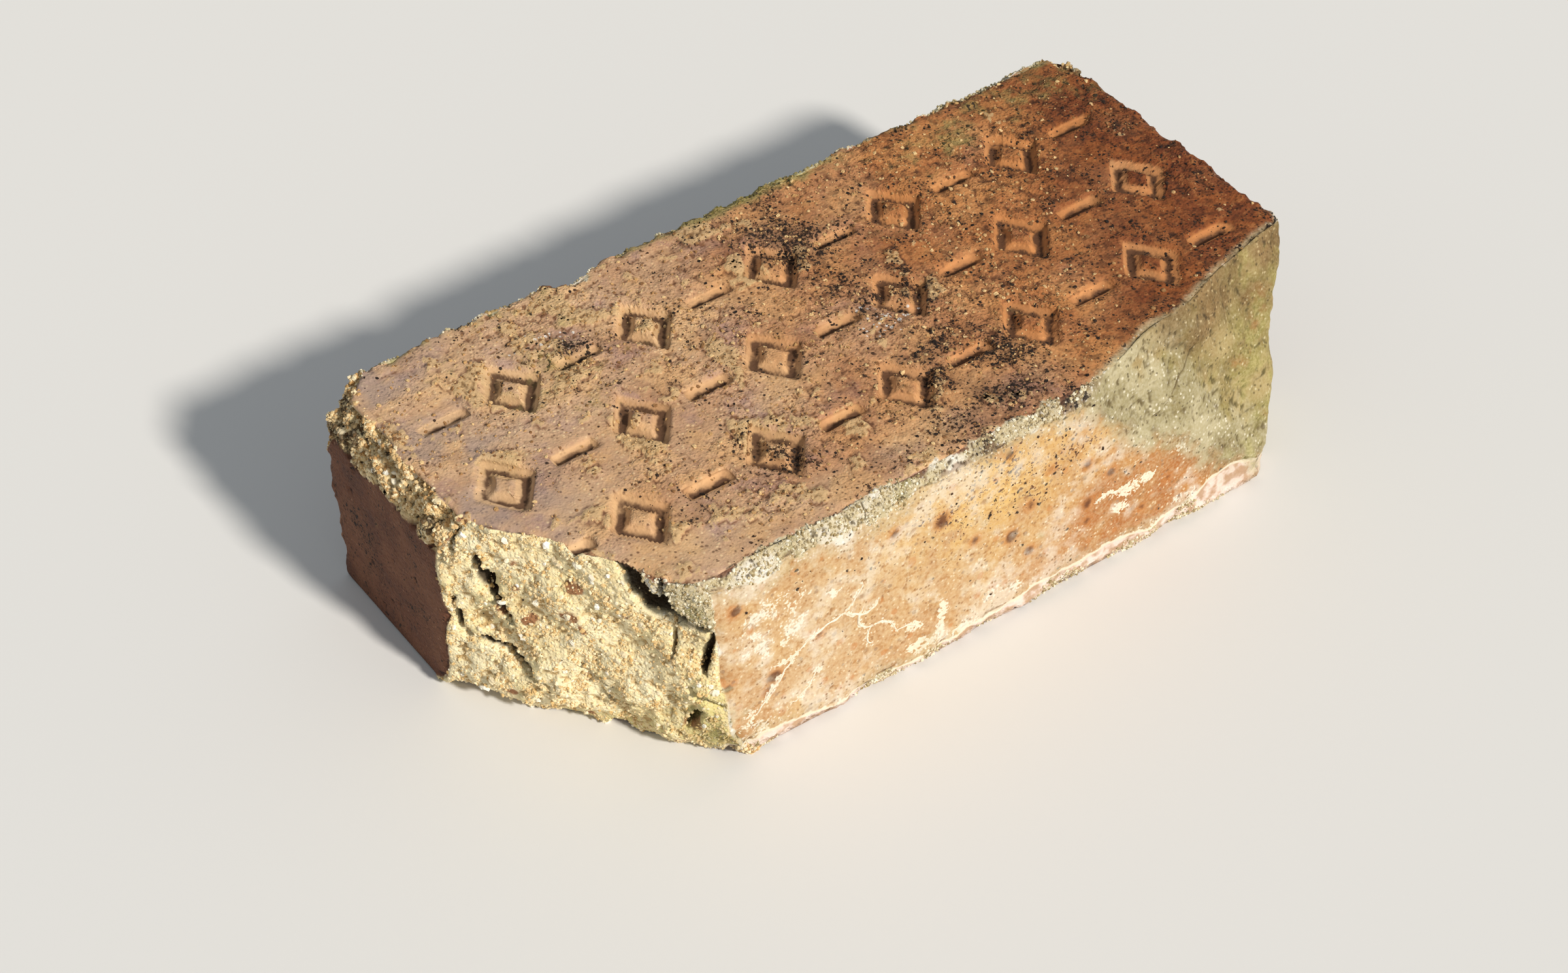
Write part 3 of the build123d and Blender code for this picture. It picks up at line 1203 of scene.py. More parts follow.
    def strip(self, points: Array, within: Array) -> Array:
        """The share of pale crumbling clay along the rim of the spall.

        Args:
            points: places in metres.
            within: how far each lies inside the spall, in metres.

        Returns:
            The share at each point.
        """
        x, y, _ = points.T / MM
        wide = 6.5 - 3.5 * ease(x, 66.0, 108.0)
        ragged = 2.8 * self.drift.layered(points + 0.5, 6 * MM, 3)
        shown = ease(wide + ragged - within / MM, -1.2, 1.2) * ease(-y, 46.0, 52.0)
        return np.where(within > -2 * MM, shown, 0.0)

    def umber(self, points: Array) -> Array:
        """The share of brown on the spall: along its top and towards its far corner.

        Args:
            points: places in metres.

        Returns:
            One share for each point.
        """
        x, y, z = points.T / MM
        upper = ease(z - 0.2 * (x - 80.0), 30.0, 62.0) * ease(-y, 54.0, 46.0)
        return self.drifted(upper, points, 0.25, 9, 0.45)

    def foot_lime(self, points: Array) -> Array:
        """Millimetres inside the crust of lime along the foot of the front, negative outside it.

        Args:
            points: places in metres.

        Returns:
            One distance for each point.
        """
        x, y, z = points.T / MM
        tall = 3.4 + 3.4 * ease(x, -25.0, 20.0) + 5.5 * hill(x, 80.0, 11.0) + 2.5 * hill(x, -62.0, 12.0)
        ragged = 1.8 * self.drift.layered(points * np.array([1.0, 0.0, 0.3]) + 0.15, 12 * MM, 3)
        low_front = (y < -48.0) & (x > -74.0)
        return np.where(low_front, np.clip(tall + ragged - z, -FIELD_REACH, FIELD_REACH), -FIELD_REACH)

    def warm(self, points: Array) -> Array:
        """How far the clay has turned from grey or buff to orange: more towards the far end.

        Args:
            points: places in metres.

        Returns:
            One share for each point.
        """
        x, y, z = points.T / MM
        bed = ease(x - 0.1 * y, -100.0, 78.0) - 0.4 * ease(-y, 38.0, 46.0) * ease(-x, -50.0, -10.0)
        face = ease(x, -14.0, 54.0) - 0.1 * ease(z, 25.0, 60.0)
        on_front = ease(-y, 54.5, 56.5) * ease(61.0 - z, -1.0, 1.0)
        return self.drifted(bed + (face - bed) * on_front, points, 0.7, 26)

    def moss(self, points: Array) -> Array:
        """The share of green growth: on the back arris, the spall and the low end of the break.

        Args:
            points: places in metres.

        Returns:
            One share for each point.
        """
        x, y, z = points.T / MM
        arris = ease(y, 47.0, 56.0) * ease(z, 50.0, 62.0) * (0.35 + 0.65 * hill(x, 8.0, 26.0))
        back_stain = 0.42 * ease(x, 25.0, 70.0) * ease(y, 22.0, 48.0)
        near_stain = 0.34 * hill(np.hypot(x + 62.0, 0.7 * (y - 30.0)), 0.0, 18.0)
        heel = 0.5 * hill(np.hypot(x + 77.0, y + 52.0), 0.0, 13.0) * ease(46.0 - z, 0.0, 34.0)
        spall = 0.36 * ease(x, 60.0, 84.0) * ease(-y, 30.0, 42.0) * ease(x - y, 122.0, 140.0)
        most = np.maximum.reduce([arris, back_stain, near_stain, heel, spall])
        return self.drifted(most, points, 0.4, 9, 0.25)

    def nearest_patch(self, points: Array, patches: tuple) -> Array:
        """The distance inside the nearest of many round or oval patches on the front, in millimetres.

        Args:
            points: places in metres.
            patches: the middle's x and z and one or two radii of each patch, in millimetres.

        Returns:
            Millimetres inside a patch's rim, negative outside, and far negative off the front.
        """
        x, y, z = points.T / MM
        inside = np.full(len(points), -FAR_OFF)
        for middle_x, middle_z, *radii in patches:
            wide, high = radii[0], radii[-1]
            reach = np.hypot((x - middle_x) / wide, (z - middle_z) / high)
            inside = np.maximum(inside, (1.0 - reach) * min(wide, high))
        return np.where(y < FRONT_BELOW, inside, -FAR_OFF)

    def pale(self, points: Array) -> Array:
        """Pale grit lodged in the bed near its middle, as a share.

        Args:
            points: places in metres.

        Returns:
            One share for each point.
        """
        x, y, _ = points.T / MM
        middle = hill(np.hypot(0.8 * (x - 10.0), y + 7.0), 0.0, 8.0)
        side = 0.7 * hill(np.hypot(x + 60.0, y - 36.0), 0.0, 9.0)
        edge = 0.3 * hill(np.hypot(0.5 * (x - 60.0), y + 38.0), 0.0, 6.0)
        uneven = 0.25 * self.drift.layered(points + 0.9, 6 * MM, 2)
        return np.clip(np.maximum.reduce([middle, side, edge]) + uneven, 0.0, 1.0)


@dataclass
class BrickSkin:
    """The whole brick as one closed, finely shaped surface.

    For each field of hollows it keeps the rounds of averaging, and the depth that counts as 1.
    """

    form: BrickForm
    relief: SkinRelief
    deposits: Deposits
    veins: "LimeVeins"
    core_inset: Point = (45.0 * MM, 45.0 * MM, 20.0 * MM)
    steps_along: tuple[float, float] = (0.63 * MM, 1.03 * MM)
    steps_across: tuple[float, float] = (0.75 * MM, 1.05 * MM)
    steps_up: tuple[float, float] = (1.0 * MM, 0.75 * MM)
    seam_blend: float = 0.5 * MM
    rim_height: float = 0.6 * MM
    hollows: dict[str, tuple[int, float]] = field(
        default_factory=lambda: {"fine_hollow": (2, 0.12 * MM), "wide_hollow": (12, 0.45 * MM)})
    points: Array = field(init=False)
    triangles: Array = field(init=False)
    fields: dict[str, Array] = field(init=False)

    def lattice(self) -> BlockLattice:
        """The grid lines round the block: closest at the broken end, the front and the top.

        Returns:
            The lattice, with its grid lines along, across and up.
        """
        form = self.form
        return BlockLattice(
            graded(-form.half_length, form.half_length, *self.steps_along, multiple=3),
            graded(-form.half_width, form.half_width, *self.steps_across, multiple=3),
            graded(0.0, form.height, *self.steps_up),
        )

    def core(self, points: Array) -> Array:
        """The nearest point to each point within a small box deep inside the clay.

        Args:
            points: places in metres.

        Returns:
            One place for each point, in metres.
        """
        middle, half = self.form.halves()
        reach = half - np.array(self.core_inset)
        return middle + np.clip(points - middle, -reach, reach)

    def insides(self, points: Array) -> dict[Surface, Array]:
        """How far each point lies within each kind of surface, in metres, negative outside it.

        Args:
            points: places in metres.

        Returns:
            One distance for each point, by kind of surface.
        """
        losses = self.form.losses(points)
        grouped = largest((region.surface, lost) for region, lost in losses.items())
        found = {}
        for surface, lost in grouped.items():
            others = [other for name, other in grouped.items() if name != surface]
            found[surface] = lost - np.max(others, axis=0)
        return found

    def build(self) -> bpy.types.Object:
        """Shape the skin: settle the lattice on the large forms, then raise the fine relief.

        Returns:
            The mesh object, with the fields that its material reads.
        """
        outer, cells = self.lattice().net()
        settled = self.form.settled(outer, self.core(outer))
        self.triangles = fan(cells)
        insides = self.insides(settled)
        seam = self.seam_blend
        weights = {name: ease(inside, -seam, seam) for name, inside in insides.items()}
        total = np.maximum(sum(weights.values()), 1e-6)
        height = np.zeros(len(settled))
        for surface, weight in weights.items():
            near = weight > 0
            height[near] += (weight / total)[near] * self.relief.height(surface, settled[near])
        normals = point_normals(neighbour_mean(settled, self.triangles, 2), self.triangles)
        rim = self.standing_out(settled)
        chipped_off = np.maximum(rim - 0.1 * MM, 0.0) * self.edge_wear(settled, insides)
        self.points = self.form.kept_inside(settled + normals * (height - chipped_off)[:, None])
        made = make_mesh("brick_body", self.points, cells, True)
        self.fields = self.shading_fields(settled, insides)
        for name, values in self.fields.items():
            add_field(made, name, values)
        return made

    def standing_out(self, points: Array, rounds: int = 30) -> Array:
        """How far each point stands out of its neighbourhood, in metres: most at sharp edges."""
        mean = neighbour_mean(points, self.triangles, rounds)
        return ((points - mean) * point_normals(mean, self.triangles)).sum(axis=1)

    def edge_wear(self, settled: Array, insides: dict[Surface, Array]) -> Array:
        """How much of an edge's standing height is worn off: uneven, and little on fresh breaks.

        Args:
            settled: places on the large forms, in metres.
            insides: how far each lies within each kind of surface.

        Returns:
            One share for each point.
        """
        uneven = np.clip(0.9 + 1.9 * self.relief.waves.layered(settled + 0.2, 6 * MM, 3), 0.0, 2.4)
        fresh = ease(np.maximum(insides[Surface.BROKEN], insides[Surface.CHIPPED]), -0.5 * MM, 1.0 * MM)
        return uneven * (1.0 - 0.75 * fresh) * self.exposed(settled, insides)

    @staticmethod
    def exposed(settled: Array, insides: dict[Surface, Array]) -> Array:
        """Where edges are open to wear, as a share: off the marked bed, and clear of the floor."""
        return ease(insides[Surface.BED], 3.0 * MM, 1.5 * MM) * ease(settled[:, 2], 1.5 * MM, 6.0 * MM)

    def shading_fields(self, settled: Array, insides: dict[Surface, Array]) -> dict[str, Array]:
        """The numbers at each point that the colouring reads.

        Args:
            settled: the points before the fine relief.
            insides: how far each lies within each kind of surface.

        Returns:
            Named fields: distances in millimetres, and shares from 0 to 1.
        """
        found: dict[str, Array] = {}
        for surface, inside in insides.items():
            found[surface.value] = np.clip(inside / MM, -FIELD_REACH, FIELD_REACH)
        normals = point_normals(self.points, self.triangles)
        for name, (rounds, depth) in self.hollows.items():
            mean = neighbour_mean(self.points, self.triangles, rounds)
            found[name] = np.clip(((mean - self.points) * normals).sum(axis=1) / depth, -1.0, 1.0)
        deposits = self.deposits
        for name in ("soot", "moss", "pale", "deep", "golden", "cool", "olive", "umber", "foot_lime", "warm"):
            found[name] = getattr(deposits, name)(settled)
        found["crust"] = np.where(insides[Surface.BED] > 0, self.relief.crust(settled), 0.0)
        found["rough"] = self.relief.roughness(settled)
        found["strip"] = deposits.strip(settled, insides[Surface.SPALLED])
        found["iron"] = deposits.nearest_patch(settled, deposits.iron_spots)
        patches = deposits.nearest_patch(settled, deposits.lime_patches)
        scattered = deposits.nearest_patch(settled, deposits.granular_patches)
        granular = np.minimum(scattered, 3.0) / 2.5 - 1.7
        veins = np.clip(0.3 - self.veins.distance(settled), -FAR_OFF, 0.3)
        found["lime"] = np.maximum.reduce([patches, granular, veins])
        standing = np.clip(self.standing_out(settled) / self.rim_height, -1.0, 2.0)
        found["rim"] = standing * self.exposed(settled, insides)
        on_break = insides[Surface.BROKEN] > -0.5 * MM
        found["cut"] = np.where(on_break, self.relief.crevices(settled)[0], 0.0)
        facet = np.clip(self.relief.facet(settled), -FIELD_REACH, FIELD_REACH)
        facet = np.where(on_break, facet, -FIELD_REACH)
        uneven = 2.4 * deposits.drift.layered(settled + 0.45, 13 * MM, 3)
        within_reach = found["worn"] > 0.1 - FIELD_REACH
        found["worn"] = np.maximum(found["worn"] + np.where(within_reach, uneven, 0.0), facet)
        found["broken"] = np.minimum(found["broken"], 0.4 - facet)
        marks = self.form.marks
        sunk = marks.depth_at(settled[:, 0], settled[:, 1]) / marks.depth
        found["sunk"] = np.where(insides[Surface.BED] > 0, sunk, 0.0)
        return found


@dataclass(frozen=True)
class Lump:
    """A small rounded lump as rings of points between two poles."""

    rings: int = 2
    segments: int = 5

    def net(self) -> tuple[Array, list[Array]]:
        """Points on a unit ball, by latitude and longitude, and the cells that close it.

        Returns:
            The points (sin a cos b, sin a sin b, cos a), and triangles at the poles and
            four-cornered cells between the rings.
        """
        fall, turn = np.meshgrid(
            np.pi * np.arange(1, self.rings + 1) / (self.rings + 1),
            2 * np.pi * np.arange(self.segments) / self.segments,
            indexing="ij",
        )
        turn = turn + fall
        around = np.stack([np.sin(fall) * np.cos(turn), np.sin(fall) * np.sin(turn), np.cos(fall)], -1)
        points = np.concatenate([around.reshape(-1, 3), [[0.0, 0.0, 1.0], [0.0, 0.0, -1.0]]])
        ring = np.arange(self.rings * self.segments).reshape(self.rings, self.segments)
        onward = np.roll(ring, -1, axis=1)
        pole, foot = ring.size, ring.size + 1
        cap = np.stack([np.full(self.segments, pole), ring[0], onward[0]], axis=1)
        base = np.stack([np.full(self.segments, foot), onward[-1], ring[-1]], axis=1)
        walls = np.stack([ring[:-1], ring[1:], onward[1:], onward[:-1]], axis=-1).reshape(-1, 4)
        return points, [np.concatenate([cap, base]), walls]


@dataclass(frozen=True)
class LumpScatter:
    """Many small lumps seated on the brick's skin, joined into one mesh.

    Sizes are in metres. The other numbers are shares: how deep a lump is sunk, how jagged and
    how flat it is, and how far its three radii may differ.
    """

    name: str
    seed: int
    count: int
    smallest: float
    largest: float
    sunk: float
    jag: float = 0.22
    flattened: float = 1.0
    lump: Lump = Lump()
    mostly_small: float = 1.8
    stretch: tuple[float, float] = (0.7, 1.3)

    def build(self, skin: BrickSkin, weight: Array) -> bpy.types.Object:
        """Seat the lumps where the weight is high.

        Args:
            skin: the finished skin of the brick.
            weight: the wanted density at each of the skin's points.

        Returns:
            The mesh object, with a tone field that is the same all over each lump.
        """
        dice = np.random.default_rng(self.seed)
        corners = skin.points[skin.triangles]
        across = np.cross(corners[:, 1] - corners[:, 0], corners[:, 2] - corners[:, 0])
        area = np.linalg.norm(across, axis=1)
        likely = area * weight[skin.triangles].mean(axis=1)
        chosen = dice.choice(len(likely), self.count, p=likely / likely.sum())
        share = dice.dirichlet((1.0, 1.0, 1.0), self.count)
        seats = (corners[chosen] * share[:, :, None]).sum(axis=1)
        outwards = across[chosen] / np.maximum(area[chosen, None], 1e-20)
        share_of_range = dice.random(self.count) ** self.mostly_small
        size = self.smallest * (self.largest / self.smallest) ** share_of_range
        radii = size[:, None] * dice.uniform(*self.stretch, (self.count, 3)) / 2
        unit, cells = self.lump.net()
        shape = unit[None] * (1 + dice.uniform(-self.jag, self.jag, (self.count, len(unit), 1)))
        shape = shape * radii[:, None, :]
        turned = np.einsum("nij,nkj->nki", random_turns(dice, self.count), shape)
        lift = (turned * outwards[:, None, :]).sum(axis=2, keepdims=True)
        turned = turned - (1 - self.flattened) * lift * outwards[:, None, :]
        seats = seats + outwards * (size * self.flattened * (0.5 - self.sunk))[:, None]
        points = skin.form.kept_inside(turned + seats[:, None, :]).reshape(-1, 3)
        offset = (np.arange(self.count) * len(unit))[:, None, None]
        joined = [(group[None] + offset).reshape(-1, group.shape[1]) for group in cells if len(group)]
        made = make_mesh(self.name, points, joined, False)
        add_field(made, "tone", np.repeat(dice.random(self.count), len(unit)))
        for name in ("soot", "moss"):
            nearest = skin.fields[name][skin.triangles[chosen, 0]]
            add_field(made, name, np.repeat(nearest, len(unit)))
        return made


def random_turns(dice: np.random.Generator, count: int) -> Array:
    """Even random rotations, from unit quaternions.

    Args:
        dice: the seeded source.
        count: how many are wanted.

    Returns:
        One 3 by 3 matrix for each.
    """
    turns = dice.normal(size=(4, count))
    w, x, y, z = turns / np.linalg.norm(turns, axis=0)
    rows = [
        [1 - 2 * (y * y + z * z), 2 * (x * y - z * w), 2 * (x * z + y * w)],
        [2 * (x * y + z * w), 1 - 2 * (x * x + z * z), 2 * (y * z - x * w)],
        [2 * (x * z - y * w), 2 * (y * z + x * w), 1 - 2 * (x * x + y * y)],
    ]
    return np.array(rows).transpose(2, 0, 1)


@dataclass(frozen=True)
class LimeVeins:
    """Thin raised lines of lime along cracks of the front.

    Each bent path has three places (x, height) and a width, all in millimetres.
    """

    form: BrickForm
    relief: SkinRelief
    paths: tuple = (
        ((-66.0, 14.0), (-60.0, 21.0), (-53.0, 28.5), 0.55),
        ((-53.0, 28.5), (-46.0, 31.5), (-39.5, 32.5), 0.75),
        ((-39.5, 32.5), (-36.0, 36.5), (-34.5, 39.0), 0.5),
        ((-39.5, 32.5), (-34.0, 29.0), (-29.5, 31.5), 0.8),
        ((-34.5, 31.0), (-35.5, 26.0), (-31.5, 23.5), 0.7),
        ((-31.5, 23.5), (-27.0, 22.0), (-24.5, 17.5), 0.75),
        ((-31.5, 23.5), (-33.5, 20.0), (-31.5, 17.5), 0.5),
        ((-53.0, 28.5), (-56.5, 27.0), (-60.5, 27.5), 0.4),
        ((-24.5, 17.5), (-20.5, 17.0), (-18.0, 14.5), 0.6),
        ((-48.0, 19.0), (-51.0, 14.0), (-56.0, 11.5), 0.45),
        ((36.0, 24.5), (41.0, 25.5), (47.0, 23.5), 0.55),
    )
    steps: int = 60
    profile_points: int = 5
    profile_foot: float = -1.6
    rise: float = 0.26 * MM
    wander: float = 0.5 * MM
    drift: ClayNoise = ClayNoise(83)

    def distance(self, points: Array) -> Array:
        """The distance from each point to the nearest line, in millimetres; endless off the front.

        Args:
            points: places in metres.

        Returns:
            One distance for each point.
        """
        x, y, z = points.T / MM
        places = np.stack([x, z], axis=1)
        nearest = np.full(len(points), np.inf)
        for start, bend, end, _ in self.paths:
            away, _, _ = from_curve(places, curve_through(start, bend, end))
            nearest = np.minimum(nearest, away)
        return np.where(y < FRONT_BELOW, nearest, np.inf)

    def build(self) -> bpy.types.Object:
        """Carry a low arch along every path, thinning out to both its ends.

        Returns:
            One mesh: at each step the arch has a row of points above and one behind, in the clay.
        """
        turn = np.linspace(0.0, np.pi, self.profile_points)
        arch = np.stack([np.cos(turn), np.sin(turn)], axis=1)
        profile = np.concatenate([arch, [[0.0, self.profile_foot]]])
        every, cells, total = [], [], 0
        for start, bend, end, width in self.paths:
            line = curve_through(start, bend, end, self.steps) * MM
            flat = np.stack([line[:, 0], np.zeros(len(line)), line[:, 1]], axis=1)
            stray = np.stack([self.drift.smooth(flat + offset, 2.6 * MM) for offset in (0.0, 0.5)], axis=1)
            line = line + self.wander * stray
            ahead = np.gradient(line, axis=0)
            ahead = ahead / np.linalg.norm(ahead, axis=1, keepdims=True)
            beside = np.stack([-ahead[:, 1], ahead[:, 0]], axis=1)
            share = np.linspace(0.0, 1.0, len(line))
            uneven = 1 + 0.55 * self.drift.smooth(flat + 0.9, 1.6 * MM)
            half = width / 2 * MM * uneven * np.sqrt(np.clip(4 * share * (1 - share), 0.05, 1.0))
            spots = line[:, None, :] + half[:, None, None] * profile[None, :, :1] * beside[:, None, :]
            at = np.stack([spots[..., 0], np.full(spots.shape[:2], -self.form.half_width), spots[..., 1]], -1)
            ground = self.relief.front(at.reshape(-1, 3)).reshape(spots.shape[:2])
            lift = self.rise * (half / half.max())[:, None] * profile[None, :, 1]
            at[..., 1] = np.maximum(-self.form.half_width - ground - lift, -self.form.half_width)
            rings = total + np.arange(at.shape[0] * at.shape[1]).reshape(at.shape[:2])
            onward = np.roll(rings, -1, axis=1)
            walls = np.stack([rings[:-1], onward[:-1], onward[1:], rings[1:]], -1).reshape(-1, 4)
            every.append(at.reshape(-1, 3))
            cells.append(walls)
            caps = np.stack([rings[0][::-1], rings[-1]])
            total += rings.size
            cells.append(np.concatenate([caps[:, [0, 1, 2, 3]], caps[:, [0, 3, 4, 5]]]))
        return make_mesh("lime_veins", np.concatenate(every), [np.concatenate(cells)], True)


@dataclass(frozen=True)
class Graph:
    """Adds nodes to one node tree, and links or sets their sockets by name."""

    tree: bpy.types.NodeTree

    def feed(self, socket: Socket, value: Value) -> None:
        """Link a socket to another, or set it to a plain value.

        Args:
            socket: the socket to fill.
            value: another socket, a number or a colour.
        """
        if isinstance(value, Socket):
            self.tree.links.new(value, socket)
        else:
            socket.default_value = value

    def add(self, kind: str, inputs: dict[Union[str, int], Value], **settings: object) -> bpy.types.Node:
        """Place one node.

        Args:
            kind: the node's type name.
            inputs: a value or a socket for each of its inputs, by name or number.
            settings: the node's own options.

        Returns:
            The node.
        """
        node = self.tree.nodes.new(kind)
        for name, value in settings.items():
            setattr(node, name, value)
        for name, value in inputs.items():
            self.feed(node.inputs[name], value)
        return node

    def use(self, group: bpy.types.NodeTree, inputs: dict[str, Value]) -> bpy.types.Node:
        """Place a node group."""
        return self.add("ShaderNodeGroup", inputs, node_tree=group)

    def math(self, how: str, first: Value, second: Value) -> Socket:
        """Reckon one number from two."""
        return self.add("ShaderNodeMath", {0: first, 1: second}, operation=how).outputs[0]

    def plus(self, first: Value, second: Value) -> Socket:
        """The sum of two numbers."""
        return self.math("ADD", first, second)

    def minus(self, first: Value, second: Value) -> Socket:
        """The first number less the second."""
        return self.math("SUBTRACT", first, second)

    def larger(self, first: Value, second: Value) -> Socket:
        """The larger of two numbers."""
        return self.math("MAXIMUM", first, second)

    def times(self, first: Value, *others: Value) -> Value:
        """The product of one or more numbers.

        Args:
            first: the first number.
            others: the numbers to multiply it by.

        Returns:
            The product.
        """
        product = first
        for other in others:
            product = self.math("MULTIPLY", product, other)
        return product

    def between(self, value: Value, low: Value, high: Value) -> Socket:
        """0 below low, 1 above high, and a smooth rise from one to the other."""
        inputs = {"Value": value, "From Min": low, "From Max": high}
        return self.add("ShaderNodeMapRange", inputs, interpolation_type="SMOOTHSTEP").outputs["Result"]

    def laid(self, under: Value, over: Value, *shares: Value) -> Socket:
        """One colour laid over another, as strongly as the product of the shares."""
        inputs = {0: self.times(*shares), 6: under, 7: over}
        return self.add("ShaderNodeMix", inputs, data_type="RGBA").outputs[2]

    def noise(self, vector: Value, size: Value, detail: float) -> Socket:
        """Smooth noise of about 0 to 1 whose lumps are the given size.

        Args:
            vector: the place to read it at.
            size: the size of its lumps.
            detail: how many finer layers it has.

        Returns:
            The socket with the noise.
        """
        scale = self.math("DIVIDE", 1.0, size) if isinstance(size, Socket) else 1.0 / size
        inputs = {"Vector": vector, "Scale": scale, "Detail": detail}
        return self.add("ShaderNodeTexNoise", inputs).outputs["Fac"]

    def cells(self, vector: Value, scale: Value) -> tuple[Socket, Socket, Socket]:
        """Scattered cells: the distance to the nearest middle, and two numbers that each cell keeps.

        Args:
            vector: the place to read them at.
            scale: how many cells there are to one unit.

        Returns:
            Three sockets: the distance and the two numbers.
        """
        node = self.add("ShaderNodeTexVoronoi", {"Vector": vector, "Scale": scale})
        split = self.add("ShaderNodeSeparateColor", {0: node.outputs["Color"]})
        return node.outputs["Distance"], split.outputs[0], split.outputs[1]

    def field(self, name: str) -> Socket:
        """One of the piece's own numbers, stored at its points."""
        return self.add("ShaderNodeAttribute", {}, attribute_name=name).outputs["Fac"]

    def rise(self, name: str, low: float, high: float) -> Socket:
        """A smooth rise from 0 to 1 as one of the piece's own numbers goes from low to high."""
        return self.between(self.field(name), low, high)


class Kind(Enum):
    """The kinds of socket that the node groups have."""

    NUMBER = "NodeSocketFloat"
    COLOUR = "NodeSocketColor"
    VECTOR = "NodeSocketVector"


def kinds(names: str, kind: Kind) -> dict[str, Kind]:
    """Sockets of one kind, from their names with commas between."""
    return {name: kind for name in names.split(", ")}


def new_group(name: str, inputs: dict[str, Kind], outputs: dict[str, Kind]) -> tuple[Graph, dict, dict]:
    """Start a node group.

    Args:
        name: the group's name.
        inputs, outputs: the kind of each named socket.

    Returns:
        The graph to add nodes to, the sockets that bring each input in, and those that take each
        output out.
    """
    tree = bpy.data.node_groups.new(name, "ShaderNodeTree")
    for way, sockets in (("INPUT", inputs), ("OUTPUT", outputs)):
        for title, kind in sockets.items():
            tree.interface.new_socket(name=title, in_out=way, socket_type=kind.value)
    entry = tree.nodes.new("NodeGroupInput")
    leaving = tree.nodes.new("NodeGroupOutput")
    brought = {title: entry.outputs[title] for title in inputs}
    taken = {title: leaving.inputs[title] for title in outputs}
    return Graph(tree), brought, taken


PLACE = kinds("Place", Kind.VECTOR)
MASK = kinds("Mask", Kind.NUMBER)
GRAIN = kinds("Coarse, Medium, Fine, Grain, Grain Tone", Kind.NUMBER)


